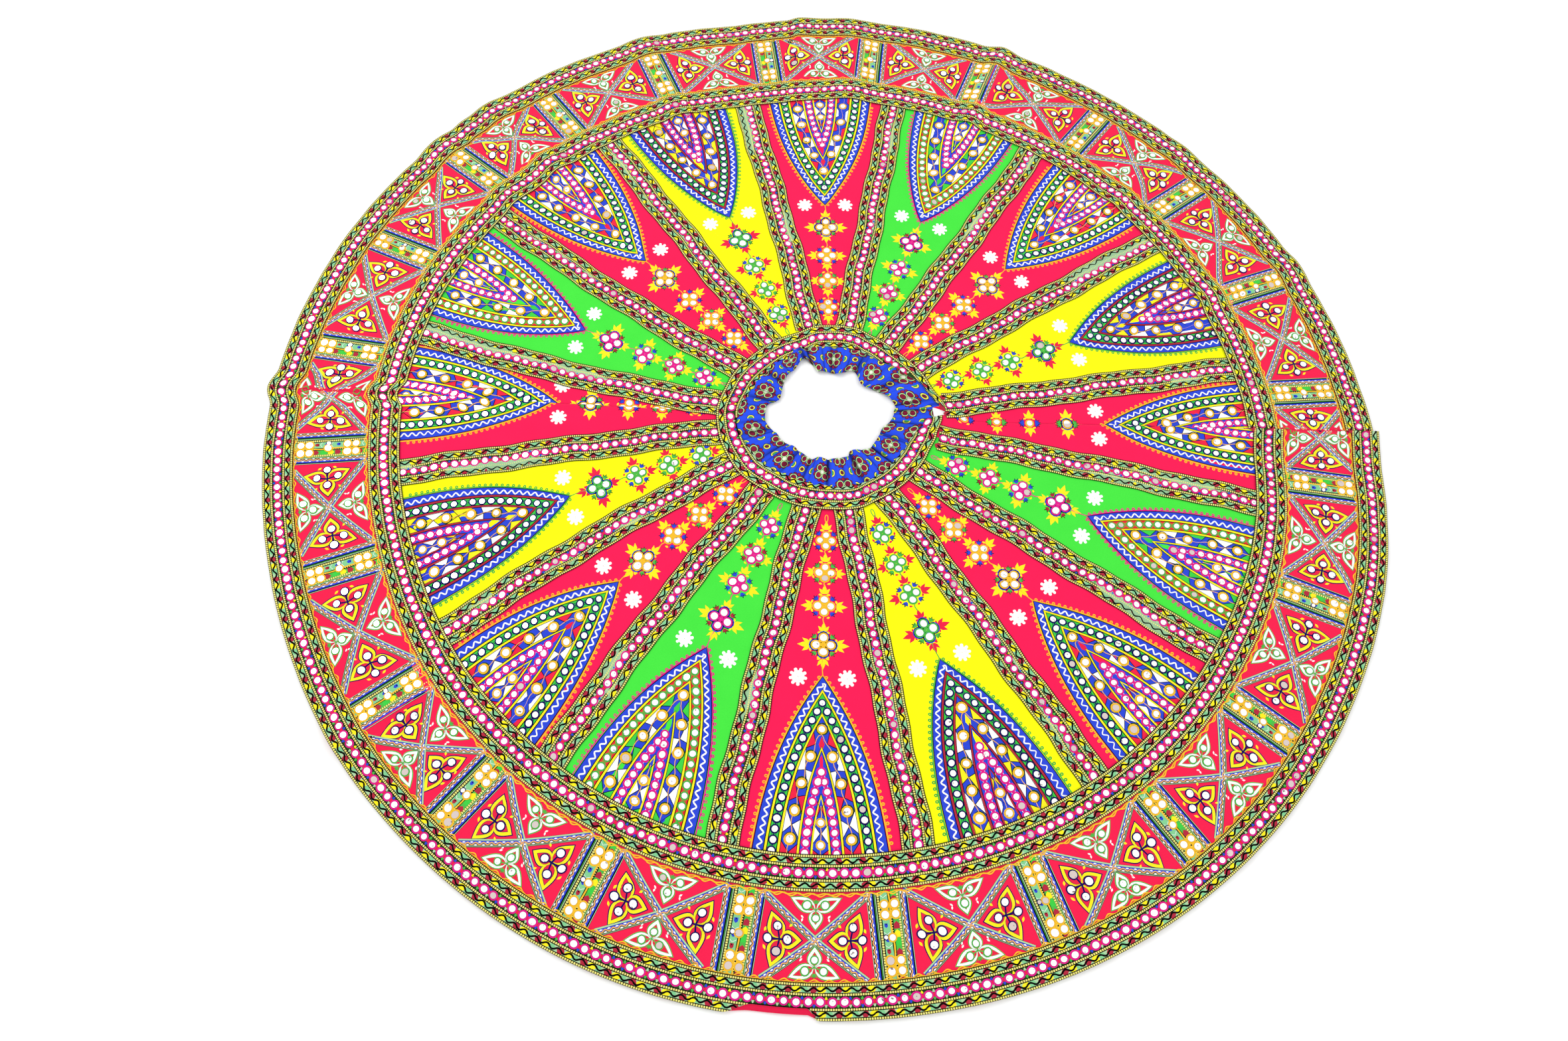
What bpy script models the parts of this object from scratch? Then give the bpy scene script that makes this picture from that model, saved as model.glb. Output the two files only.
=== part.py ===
"""A chaniya: the long flared skirt of a chaniya choli, laid out flat as a full circle.

Sixteen gores run from the waist to a patterned border. Beaded ribbon trims cover the sixteen seams
between the gores, the waist seam, the seam above the border and the hem. A plain waistband is gathered
round the hole in the middle, and a placket slit opens beside the right-hand side seam. The second side
seam is on the left, and each side seam runs down the middle of a gore.

Every piece is drawn in polar form, as an azimuth in degrees (counter-clockwise from +X) and a radius,
and lies on z = 0 as one closed wall of cloth. Metres, +Z up.
"""

import math

import bmesh
import bpy

# Driving sizes
CLOTH = 0.0012              # wall of gores, border and waistband
RIBBON = 0.0010             # wall of the trims
GAP = 0.0003                # between pieces that meet
TRIM_WIDTH = 0.057          # the radial trims
YOKE_IN = 0.841             # inner and outer edge of the trim above the border
YOKE_OUT = 0.900
YOKE_SEAM = 0.870           # where the gores are sewn to the border, under that trim
HEM_IN = 1.040              # inner and outer edge of the hem trim
HEM_OUT = 1.095
HEM_TUCK = 0.0025           # the border's edge hides this far under the hem trim
HEM_PEEP = 0.0085           # and shows this far past it along one stretch
CENTRE = (0.00006, -0.00038)  # middle of the laid cloth's box, which is moved to the origin

# The side seams, and the slit of the placket
SEAM_BACK = 0.2             # right side seam; a strip of azimuths from here counter-clockwise is the back
SEAM_LEFT = 178.3
SLIT_TIP = 0.2385           # radius where the slit ends
SLIT_SWING = 5.4            # degrees that the right seam swings towards the slit
SLIT_BACK = 12.2            # the waist trims stop here, either side of the slit
SLIT_FRONT = 361.2
SLIT_FLOOR = 0.203          # radius that the waistband reaches across the slit
BAND_ENDS = (8.0, 367.2)    # azimuths of the waistband's two ends
WAIST_R = 0.19              # where the gores' columns are set out round the waist

# Gores are numbered counter-clockwise from the right side seam. A trim lies between each two, leaning
# by these degrees from its even place, at radius LEAN_IN and at radius LEAN_OUT.
GORES = 16
GORE_COLOURS = ("pink", "yellow", "pink", "green")
LEAN_IN = 0.30
LEAN_OUT = 0.80
LEANS = (
    (-2.1, -1.5), (0.0, -0.4), (-0.2, 0.5), (0.8, 0.9), (0.2, 1.5), (1.5, 1.5), (2.8, 0.2), (3.8, -0.1),
    (-1.8, -1.1), (-3.3, -0.1), (-4.3, -1.4), (-2.5, -1.7), (-1.7, -1.4), (-0.5, -0.8), (-0.2, -0.3), (1.3, 0.1),
)

# Outlines as (azimuth, radius) round the waist
HOLE = (
    (7, 0.1275), (12, 0.1342), (51, 0.0998), (66, 0.1195), (81, 0.1021), (103, 0.1075), (107, 0.1317),
    (111, 0.1440), (126, 0.1290), (159, 0.1080), (171, 0.1285), (184, 0.1295), (204, 0.1130), (228, 0.0995),
    (249, 0.1022), (255, 0.0946), (291, 0.0940), (297, 0.0840), (320, 0.1026), (343, 0.1036),
)
TRIM_INNER = (
    (1, 0.1877), (6, 0.2060), (12, 0.2140), (22, 0.2050), (38, 0.1840), (54, 0.1694), (86, 0.1667),
    (111, 0.1690), (120, 0.1600), (149, 0.1633), (164, 0.1708), (175, 0.1803), (186, 0.1863), (210, 0.1735),
    (243, 0.1545), (261, 0.1492), (275, 0.1557), (324, 0.1559), (344, 0.1633),
)
TRIM_OUTER = (
    (1, 0.2243), (6, 0.2300), (11, 0.2370), (25, 0.2190), (49, 0.2120), (65, 0.2154), (75, 0.2216),
    (96, 0.2194), (110, 0.2092), (133, 0.2110), (160, 0.2187), (178, 0.2260), (189, 0.2245), (212, 0.2200),
    (236, 0.2078), (270, 0.2022), (286, 0.2050), (298, 0.2010), (324, 0.2030), (339, 0.2057), (350, 0.2130),
)

# How the laid cloth strays: (azimuth, half width in degrees, metres outwards at the hem)
SWAYS = (
    (22, 3, 0.006), (42, 3, 0.005), (67.7, 2.6, 0.010), (87, 4, 0.008), (101, 11, -0.010), (113.5, 3, 0.008),
    (134.5, 3, 0.009), (142.5, 3.5, 0.007), (SEAM_LEFT, 2.2, 0.013), (200, 24, -0.008), (252, 28, 0.006),
    (345, 18, 0.005),
)
SEAM_STEP = 0.012           # the front half's hem stands out this far at the right side seam
SEAM_STEP_WIDTH = 6.0       # degrees
SWAY_START = 0.40           # radius where the sway begins
PEEP = (264, 9)             # azimuth and half width of the stretch where the border shows past the hem trim

# Ridges of cloth that stands off the ground: pressed creases down the middles of the gores, and the folds
# across the border as (azimuth, half width in degrees, height)
CREASE_HEIGHT = 0.0035
CREASE_START = 0.30
CREASE_END = 0.74
CREASE_FADE = 0.06
FOLDS = ((93.6, 4.5, 0.006), (138.6, 4.5, 0.005), (218.5, 4.5, 0.006), (22.5, 4.5, 0.003), (67.7, 4.5, 0.004))
FOLD_START = 0.905
FOLD_FULL = 0.950
GORE_COLUMNS = 6            # of a whole gore
GORE_ROWS = 6
TRIM_ROWS = 8
TRIM_CLEAR = 0.0025         # a radial trim's straight ends stay this far off the waist and yoke trims

# The waistband's gathers: height, and how many round the hole
GATHER_HEIGHT = 0.0060
GATHER_COUNT = 19

COLOURS = {
    "pink": (0.88, 0.03, 0.10),
    "yellow": (0.95, 0.90, 0.02),
    "green": (0.10, 0.72, 0.08),
    "blue": (0.02, 0.09, 0.62),
    "trim": (0.45, 0.40, 0.12),
    "border": (0.82, 0.03, 0.10),
}


def smooth(t):
    """0 below 0, 1 above 1, and an S-curve between."""
    t = min(max(t, 0.0), 1.0)
    return t * t * (3.0 - 2.0 * t)


def hump(azimuth, centre, half):
    """1 at centre, falling smoothly to 0 half degrees away."""
    away = abs((azimuth - centre + 180.0) % 360.0 - 180.0) / half
    return (1.0 - away * away) ** 2 if away < 1.0 else 0.0


def outline(points, azimuth):
    """The radius of a closed outline, eased from one of its points to the next."""
    azimuth %= 360.0
    ring = [(points[-1][0] - 360.0, points[-1][1]), *points, (points[0][0] + 360.0, points[0][1])]
    for (a0, r0), (a1, r1) in zip(ring, ring[1:]):
        if a0 <= azimuth <= a1:
            return r0 + (r1 - r0) * smooth((azimuth - a0) / (a1 - a0))
    raise ValueError(azimuth)


def sway(azimuth, radius):
    """How far outwards a point of the laid cloth has strayed."""
    strength = smooth((radius - SWAY_START) / (YOKE_SEAM - SWAY_START))
    move = sum(height * hump(azimuth, centre, half) for centre, half, height in SWAYS)
    past = (azimuth - (360.0 + SEAM_BACK - SEAM_STEP_WIDTH)) / SEAM_STEP_WIDTH
    if past > 0.0:
        move += SEAM_STEP * past * past
    return strength * move


def lay(azimuth, radius, height):
    """From the drawing of a piece to its place on the ground."""
    r = radius + sway(azimuth, radius)
    a = math.radians(azimuth)
    return r * math.cos(a) - CENTRE[0], r * math.sin(a) - CENTRE[1], height


def fold_height(azimuth, radius):
    """The height of the folds across the border and the hem."""
    rise = smooth((radius - FOLD_START) / (FOLD_FULL - FOLD_START))
    return rise * max(height * hump(azimuth, centre, half) for centre, half, height in FOLDS)


def right_seam(radius):
    """Azimuth of the right side seam, which swings towards the slit at the waist."""
    return SEAM_BACK + SLIT_SWING * math.exp((SLIT_TIP - max(radius, SLIT_TIP)) / 0.02)


def left_seam(radius):
    """Azimuth of the left side seam, the same at every radius."""
    return SEAM_LEFT


def trim_azimuth(number, radius):
    """Azimuth of the middle of a radial trim; trim 0 follows gore 0 counter-clockwise."""
    inner, outer = LEANS[number % GORES]
    turn = 360.0 / GORES
    along = (radius - LEAN_IN) / (LEAN_OUT - LEAN_IN)
    return turn * (number + 0.5) + inner + (outer - inner) * along


def waist_seam(azimuth):
    """Radius where gores and waistband meet, half way under the waist trim; the slit cuts across it."""
    if SLIT_FRONT < azimuth % 360.0 + 360.0 < SLIT_BACK + 360.0:
        return SLIT_TIP
    return 0.5 * (outline(TRIM_INNER, azimuth) + outline(TRIM_OUTER, azimuth))


def share(start, end, part):
    return start + (end - start) * part


def even_marks(start, end, count):
    return [share(start, end, i / count) for i in range(count + 1)]


def gore_edges():
    """Every cut piece of the gores, as (number, half, start edge, end edge, columns)."""
    half = GORE_COLUMNS // 2
    left = GORES // 2

    def edge(number):
        return lambda radius: trim_azimuth(number, radius)

    pieces = [(0, "_back", right_seam, edge(0), half)]
    pieces += [(n, "", edge(n - 1), edge(n), GORE_COLUMNS) for n in range(1, left)]
    pieces += [(left, "_back", edge(left - 1), left_seam, half)]
    pieces += [(left, "_front", left_seam, edge(left), half)]
    pieces += [(n, "", edge(n - 1), edge(n), GORE_COLUMNS) for n in range(left + 1, GORES)]
    pieces += [(0, "_front", edge(GORES - 1), lambda radius: 360.0 + right_seam(radius), half)]
    return pieces


def shared_marks(radius):
    """The azimuths of all the gores' columns at one radius, for the rings that are sewn to them."""
    marks = []
    for _, _, first, last, columns in gore_edges():
        marks += even_marks(first(radius), last(radius), columns)
    return sorted(set(round(mark, 6) for mark in marks))


def colour_material(name, colour):
    """A matt cloth finish of the piece's own."""
    material = bpy.data.materials.new(name)
    material.use_nodes = True
    shader = material.node_tree.nodes["Principled BSDF"]
    shader.inputs["Base Color"].default_value = (*COLOURS[colour], 1.0)
    shader.inputs["Roughness"].default_value = 0.85
    shader.inputs["Metallic"].default_value = 0.0
    material.diffuse_color = (*COLOURS[colour], 1.0)
    return material


def cloth_piece(name, colour, columns, rows, place, wall):
    """One closed wall of cloth: a grid whose underside place(column, row) puts where it lies."""
    bm = bmesh.new()
    bmesh.ops.create_grid(bm, x_segments=columns, y_segments=rows, size=0.5)
    upper = bmesh.ops.extrude_face_region(bm, geom=bm.faces[:])["geom"]
    tops = {part for part in upper if isinstance(part, bmesh.types.BMVert)}
    for vert in bm.verts:
        column = round((vert.co.x + 0.5) * columns)
        row = round((vert.co.y + 0.5) * rows)
        x, y, z = place(column, row)
        vert.co = (x, y, z + wall if vert in tops else z)
    bmesh.ops.recalc_face_normals(bm, faces=bm.faces)
    mesh = bpy.data.meshes.new(name)
    bm.to_mesh(mesh)
    bm.free()
    mesh.materials.append(colour_material(name, colour))
    piece = bpy.data.objects.new(name, mesh)
    bpy.context.scene.collection.objects.link(piece)


def seamed(azimuth, radius, column, columns):
    """Draws the first and last column back by half a seam's gap."""
    half_gap = math.degrees(0.5 * GAP / radius)
    return azimuth + half_gap * ((column == 0) - (column == columns))


def gore(number, half, first, last, columns):
    """One cut piece of a gore, creased down its middle where it is whole."""

    def place(column, row):
        part = column / columns
        start = waist_seam(share(first(WAIST_R), last(WAIST_R), part)) + GAP
        radius = share(start, YOKE_SEAM - GAP, row / GORE_ROWS)
        drawn = WAIST_R if row == 0 else YOKE_SEAM if row == GORE_ROWS else radius
        azimuth = seamed(share(first(drawn), last(drawn), part), radius, column, columns)
        fade = smooth((radius - CREASE_START) / CREASE_FADE) * smooth((CREASE_END - radius) / CREASE_FADE)
        on_crease = columns == GORE_COLUMNS and column == columns // 2
        return lay(azimuth, radius, CREASE_HEIGHT * fade if on_crease else 0.0)

    colour = GORE_COLOURS[number % len(GORE_COLOURS)]
    cloth_piece(f"gore_{number + 1:02d}{half}", colour, columns, GORE_ROWS, place, CLOTH)


def radial_trim(number):
    """The ribbon over the seam between two gores, of one width all the way."""
    middle = trim_azimuth(number, WAIST_R)
    start = TRIM_CLEAR + max(outline(TRIM_OUTER, middle + turn) for turn in (-8.0, -4.0, 0.0, 4.0, 8.0))

    def place(column, row):
        radius = share(start, YOKE_IN - TRIM_CLEAR, row / TRIM_ROWS)
        aside = (column - 0.5) * TRIM_WIDTH
        azimuth = trim_azimuth(number, radius) + math.degrees(aside / radius)
        return lay(azimuth, radius, CLOTH + GAP)

    cloth_piece(f"radial_trim_{number + 1:02d}", "trim", 1, TRIM_ROWS, place, RIBBON)


def ring_piece(name, colour, marks, radii, base, wall):
    """A strip round part of the ring: radii(azimuth) lists its radius on each row, inner edge first."""
    rows = len(radii(marks[0])) - 1
    columns = len(marks) - 1

    def place(column, row):
        radius = radii(marks[column])[row]
        azimuth = seamed(marks[column], radius, column, columns)
        return lay(azimuth, radius, base(azimuth, radius))

    cloth_piece(name, colour, columns, rows, place, wall)


def hem_edge(azimuth):
    """Radius of the border's own lower edge."""
    return HEM_OUT - HEM_TUCK + (HEM_TUCK + HEM_PEEP) * hump(azimuth, *PEEP)


def rings():
    """Border, yoke trim and hem trim, each in a back and a front half between the side seams."""
    shared = shared_marks(YOKE_SEAM)
    for half, start, end in (("back", shared[0], SEAM_LEFT), ("front", SEAM_LEFT, shared[-1])):
        marks = [mark for mark in shared if start <= mark <= end]
        ring_piece(
            f"border_{half}", "border", marks,
            lambda a: (YOKE_SEAM + GAP, FOLD_START, FOLD_FULL, HEM_IN, hem_edge(a)),
            fold_height, CLOTH,
        )
        ring_piece(
            f"yoke_trim_{half}", "trim", marks, lambda a: (YOKE_IN, YOKE_OUT),
            lambda a, r: CLOTH + GAP, RIBBON,
        )
        ring_piece(
            f"hem_trim_{half}", "trim", marks, lambda a: (HEM_IN, HEM_OUT),
            lambda a, r: CLOTH + GAP + fold_height(a, r), RIBBON,
        )


def waist():
    """The two waist trims and the gathered waistband, with the slit left open between their ends."""
    for half, start, end in (("back", SLIT_BACK, SEAM_LEFT), ("front", SEAM_LEFT, SLIT_FRONT)):
        ring_piece(
            f"waist_trim_{half}", "trim", even_marks(start, end, 24),
            lambda a: (outline(TRIM_INNER, a), outline(TRIM_OUTER, a)),
            lambda a, r: CLOTH + GAP, RIBBON,
        )

    def band_radii(azimuth):
        inner = outline(HOLE, azimuth)
        seam = min(waist_seam(azimuth) - GAP, SLIT_FLOOR if waist_seam(azimuth) == SLIT_TIP else 1.0)
        edge = min(outline(TRIM_INNER, azimuth), seam) - 0.004
        return inner, share(inner, edge, 0.5), edge, seam

    def band_height(azimuth, radius):
        inner, middle, _, _ = band_radii(azimuth)
        gather = 0.5 - 0.5 * math.cos(math.radians(GATHER_COUNT * azimuth))
        return GATHER_HEIGHT * gather * smooth((2.0 * middle - inner - radius) / (middle - inner))

    first, last = BAND_ENDS
    marks = [first] + [m for m in shared_marks(WAIST_R) if first + 0.5 < m < last - 0.5] + [last]
    ring_piece("waistband", "blue", marks, band_radii, band_height, CLOTH)


def main():
    for thing in list(bpy.data.objects):
        bpy.data.objects.remove(thing)
    for number, half, first, last, columns in gore_edges():
        gore(number, half, first, last, columns)
    for number in range(GORES):
        radial_trim(number)
    rings()
    waist()


main()
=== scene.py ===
# %% [markdown]
# # A chaniya, laid out flat
# A chaniya is the long flared skirt of a chaniya choli. This one lies on the floor as a full circle of
# sixteen coloured gores, each with an embroidered arch and a vine of mirror flowers. Beaded ribbon trims cover
# the seams, a border of mirror blocks runs round the outside, and a gathered print waistband rings the hole.
# The CAD model fixes where every piece lies. This script makes the cloth and all of the handwork on it.

# %% Tools, and the frame to work in
import math
from functools import cache, partial

import bmesh
import bpy
import numpy as np
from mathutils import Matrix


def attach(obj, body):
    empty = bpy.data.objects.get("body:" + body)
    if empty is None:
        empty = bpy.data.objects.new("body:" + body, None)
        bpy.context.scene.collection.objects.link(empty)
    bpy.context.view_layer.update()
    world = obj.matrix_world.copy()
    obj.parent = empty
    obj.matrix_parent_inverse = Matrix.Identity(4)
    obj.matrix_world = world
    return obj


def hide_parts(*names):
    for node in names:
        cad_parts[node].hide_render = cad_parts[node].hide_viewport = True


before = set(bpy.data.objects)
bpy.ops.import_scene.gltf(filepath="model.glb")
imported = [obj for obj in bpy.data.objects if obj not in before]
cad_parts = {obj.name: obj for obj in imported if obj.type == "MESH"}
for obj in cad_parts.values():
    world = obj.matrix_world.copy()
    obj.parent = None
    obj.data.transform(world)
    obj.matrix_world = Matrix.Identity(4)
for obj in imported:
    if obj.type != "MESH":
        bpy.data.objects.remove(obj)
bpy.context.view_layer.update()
print("nodes in the frame:", len(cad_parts))
rng = np.random.default_rng(16)

# %% [markdown]
# ## How the cloth lies
# Everything is drawn in polar form, as an azimuth in degrees (counter-clockwise from +X) and a radius, with
# the same sizes as the CAD pieces. A laid cloth strays a little from true circles: its hem swings in and
# out, and the side seams pull it. Written once, as functions of whole arrays of points, that moves cloth and
# embroidery together.

# %% Sizes in metres, from the cut pieces
CLOTH, RIBBON, GAP = 0.0012, 0.0008, 0.0003
TRIM_WIDTH = 0.057
YOKE_IN, YOKE_OUT, YOKE_SEAM = 0.841, 0.900, 0.870
HEM_IN, HEM_OUT, HEM_TUCK = 1.040, 1.095, 0.0025
CENTRE = (0.00006, -0.00038)
SEAM_BACK, SEAM_LEFT, SLIT_TIP, SLIT_SWING = 0.2, 178.3, 0.2385, 5.4
SLIT_BACK, SLIT_FRONT, SLIT_FLOOR, SLIT_MIDDLE = 12.2, 361.0, 0.2075, 365.0
SLIT_LEANS, SLIT_SLOPES, SLIT_END = (6.0, 2.4), (0.0098, 0.0073), 369.2
BAND_ENDS = (7.75, 367.45)
WAIST_R = 0.19
GORES = 16
GORE_COLOURS = ("pink", "yellow", "pink", "green")
LEAN_IN, LEAN_OUT = 0.30, 0.80
LEANS = np.array((
    (-2.1, -1.5), (0.0, -0.4), (-0.2, 0.5), (0.8, 0.9), (0.2, 1.5), (1.5, 1.5), (2.8, 0.2),
    (3.8, -0.1), (-1.8, -1.1), (-3.3, -0.1), (-4.3, -1.4), (-2.5, -1.7), (-1.7, -1.4), (-0.5, -0.8),
    (-0.2, -0.3), (1.3, 0.1),
))
HOLE = (
    (7, 0.1275), (12, 0.1342), (51, 0.0998), (66, 0.1195), (81, 0.1021), (103, 0.1075), (107, 0.1317),
    (111, 0.1440), (126, 0.1290), (159, 0.1080), (171, 0.1285), (184, 0.1295), (204, 0.1130), (228, 0.0995),
    (249, 0.1022), (255, 0.0946), (291, 0.0940), (297, 0.0840), (320, 0.1026), (343, 0.1036),
)
TRIM_INNER = (
    (1, 0.1877), (6, 0.2060), (12, 0.2140), (22, 0.2050), (38, 0.1840), (54, 0.1694), (86, 0.1667),
    (111, 0.1690), (120, 0.1600), (149, 0.1633), (164, 0.1708), (175, 0.1803), (186, 0.1863), (210, 0.1735),
    (243, 0.1545), (261, 0.1492), (275, 0.1557), (324, 0.1559), (344, 0.1633),
)
TRIM_OUTER = (
    (1, 0.2243), (6, 0.2300), (11, 0.2370), (25, 0.2190), (49, 0.2120), (65, 0.2154), (75, 0.2216),
    (96, 0.2194), (110, 0.2092), (133, 0.2110), (160, 0.2187), (178, 0.2260), (189, 0.2245), (212, 0.2200),
    (236, 0.2078), (270, 0.2022), (286, 0.2050), (298, 0.2010), (324, 0.2030), (339, 0.2057), (350, 0.2130),
)
SWAYS = (
    (22, 3, 0.006), (42, 3, 0.005), (67.7, 2.6, 0.010), (87, 4, 0.008), (101, 11, -0.010),
    (113.5, 3, 0.008), (134.5, 3, 0.009), (142.5, 3.5, 0.007), (SEAM_LEFT, 2.2, 0.013), (200, 24, -0.008),
    (252, 28, 0.006), (345, 18, 0.005),
)
SEAM_STEP, SEAM_STEP_WIDTH, SWAY_START, SLIT_EASE = 0.012, 6.0, 0.40, 0.02
TURNED, TURNED_TRIM, TURNED_BORDER = (260.5, 268.6), 0.018, 0.006
CREASE_START, CREASE_END, CREASE_FADE = 0.30, 0.74, 0.06
print("gores:", GORES, "trims:", GORES + 6)


# %% Eases, humps and outlines
def smooth(t):
    """0 below 0, 1 above 1, and an S-curve between."""
    t = np.clip(t, 0.0, 1.0)
    return t * t * (3.0 - 2.0 * t)


def hump(azimuth, centre, half):
    """1 at centre, falling smoothly to 0 half degrees away."""
    away = np.clip(np.abs((azimuth - centre + 180.0) % 360.0 - 180.0) / half, 0.0, 1.0)
    return (1.0 - away * away) ** 2


def outline(points, azimuth):
    """The radius of a closed outline, eased from one of its points to the next."""
    ring = np.array([(points[-1][0] - 360.0, points[-1][1]), *points, (points[0][0] + 360.0, points[0][1])])
    azimuth = np.asarray(azimuth, float) % 360.0
    i = np.clip(np.searchsorted(ring[:, 0], azimuth, "right") - 1, 0, len(ring) - 2)
    part = (azimuth - ring[i, 0]) / (ring[i + 1, 0] - ring[i, 0])
    return ring[i, 1] + (ring[i + 1, 1] - ring[i, 1]) * smooth(part)


def right_seam(radius):
    """Azimuth of the right side seam, which swings towards the slit at the waist."""
    return SEAM_BACK + SLIT_SWING * np.exp((SLIT_TIP - np.maximum(radius, SLIT_TIP)) / SLIT_EASE)


def left_seam(radius):
    """Azimuth of the left side seam, the same at every radius."""
    return SEAM_LEFT + 0.0 * np.asarray(radius, float)


def trim_azimuth(number, radius):
    """Azimuth of the middle of a radial trim; trim 0 follows gore 0 counter-clockwise."""
    inner, outer = LEANS[np.asarray(number) % GORES].T
    along = (radius - LEAN_IN) / (LEAN_OUT - LEAN_IN)
    return 360.0 / GORES * (number + 0.5) + inner + (outer - inner) * along


def gore_axis(number, radius):
    """Azimuth of the middle of a gore."""
    return 0.5 * (trim_azimuth(number - 1, radius) + trim_azimuth(number, radius))


def at_slit(azimuth):
    """Azimuth counted on past 360 at the right side, and whether the slit is open there."""
    turned = (np.asarray(azimuth) - 180.0) % 360.0 + 180.0
    return turned, (turned > SLIT_FRONT) & (turned < SLIT_END)


def waist_seam(azimuth):
    """Radius where gores and waistband meet, half way under the waist trim; the slit cuts across it."""
    middle = 0.5 * (outline(TRIM_INNER, azimuth) + outline(TRIM_OUTER, azimuth))
    turned, open_ = at_slit(azimuth)
    aside = turned - SLIT_MIDDLE
    tapered = SLIT_TIP - np.where(aside < 0.0, *SLIT_SLOPES) * np.abs(aside)
    return np.where(open_, np.maximum(tapered, SLIT_FLOOR + GAP), middle)


# %% [markdown]
# ## Where the cloth stands off the floor
# The skirt was folded before it was laid, so a faint pressed ridge runs down most gores. Round the border
# the spare cloth lies over in a few folds, steep on one side and long on the other, with a shadow under the
# steep side. Shallow ripples, each a sum of sines, keep the rest from looking like card.

# %% Sway and rise
FOLDS = (
    (93.6, 4.5, 0.0060), (138.6, 4.5, 0.0055), (218.5, 4.5, 0.0060), (22.5, 4.5, 0.0025), (67.7, 4.5, 0.0035),
)
FOLD_START, FOLD_FULL, FOLD_LIP = 0.905, 0.950, 1.5
CREASE_HEIGHT, CREASE_WIDTH = 0.0024, 0.013
RIPPLES = ((23, 9.0, 0.00055), (41, -14.0, 0.00045), (67, 6.0, 0.00040), (113, 17.0, 0.00025))
RIPPLE_START, RIPPLE_RAMP = 0.25, 0.5


def sway(azimuth, radius):
    """How far outwards a point of the laid cloth has strayed."""
    move = sum(height * hump(azimuth, centre, half) for centre, half, height in SWAYS)
    past = np.maximum(azimuth - (360.0 + SEAM_BACK - SEAM_STEP_WIDTH), 0.0) / SEAM_STEP_WIDTH
    return smooth((radius - SWAY_START) / (YOKE_SEAM - SWAY_START)) * (move + SEAM_STEP * past * past)


def lip(azimuth, centre, half):
    """A fold that lies over: a long rise to its centre, then a steep fall."""
    away = (azimuth - centre + 180.0) % 360.0 - 180.0
    return np.where(away < 0.0, hump(azimuth, centre, half), 1.0 - smooth(away / FOLD_LIP))


def rise(azimuth, radius):
    """Height of the cloth's underside over the floor."""
    over = smooth((radius - FOLD_START) / (FOLD_FULL - FOLD_START))
    folds = over * sum(height * lip(azimuth, centre, half) for centre, half, height in FOLDS)
    number = np.rint(azimuth / 360.0 * GORES).astype(int)
    aside = np.radians(azimuth - gore_axis(number, radius)) * radius / CREASE_WIDTH
    fade = smooth((radius - CREASE_START) / CREASE_FADE) * smooth((CREASE_END - radius) / CREASE_FADE)
    whole = (number % (GORES // 2) != 0) * np.maximum(1.0 - np.abs(aside), 0.0)
    turn = np.radians(azimuth)
    waves = sum(h * (1.0 + np.sin(n * turn + k * radius + n)) for n, k, h in RIPPLES)
    return folds + CREASE_HEIGHT * fade * whole + waves * smooth((radius - RIPPLE_START) / RIPPLE_RAMP)


def lay(azimuth, radius, lift):
    """From the drawing of a piece to its place on the floor, as rows of x, y and z."""
    azimuth, radius, lift = np.broadcast_arrays(*(np.asarray(v, float) for v in (azimuth, radius, lift)))
    out, turn = radius + sway(azimuth, radius), np.radians(azimuth)
    x, y = out * np.cos(turn) - CENTRE[0], out * np.sin(turn) - CENTRE[1]
    return np.stack([x, y, lift + rise(azimuth, radius)], -1)


print("hem at the left seam reaches x =", round(float(lay(SEAM_LEFT, HEM_OUT, 0.0)[0]), 4))

# %% [markdown]
# ## Finishes
# Two effects are shared by nearly everything here, so each is a node group. Woven cloth is crossed ribs of
# thread with slubs and a slow unevenness of dye. Satin stitch is rows of thread laid side by side across
# the shape that they fill. Both read the piece's own UV map, which holds millimetres along and across the
# cloth, so the threads turn with the piece.


# %% Helpers for node trees
def dye(code):
    """A colour written as rrggbb, as the shader wants it."""
    parts = [int(code[i:i + 2], 16) / 255.0 for i in (0, 2, 4)]
    return (*(c / 12.92 if c < 0.04045 else ((c + 0.055) / 1.055) ** 2.4 for c in parts), 1.0)


def add(tree, kind, *values, **settings):
    """One node with its settings, and its inputs in order: a value, a socket to link, or None to leave."""
    node = tree.nodes.new(kind)
    for key, value in settings.items():
        setattr(node, key, value)
    for socket, value in zip(node.inputs, values):
        if isinstance(value, bpy.types.NodeSocket):
            tree.links.new(value, socket)
        elif value is not None:
            socket.default_value = value
    return node


def sums(tree, operation, *values):
    """One Math node's answer."""
    return add(tree, "ShaderNodeMath", *values, operation=operation).outputs[0]


def layered(tree, under, mask, colour):
    """Lays one colour over what is under it, where the mask is 1."""
    mix = add(tree, "ShaderNodeMix", data_type="RGBA")
    tree.links.new(mask, mix.inputs[0])
    if isinstance(under, bpy.types.NodeSocket):
        tree.links.new(under, mix.inputs[6])
    else:
        mix.inputs[6].default_value = under
    mix.inputs[7].default_value = dye(colour)
    return mix.outputs[2]


def bumped(tree, shader, height, strength=0.5):
    """Lets a height raise a surface by up to 0.2 mm."""
    bump = add(tree, "ShaderNodeBump")
    bump.inputs["Strength"].default_value, bump.inputs["Distance"].default_value = strength, 0.0002
    tree.links.new(height, bump.inputs["Height"])
    tree.links.new(bump.outputs[0], shader.inputs["Normal"])


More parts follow.
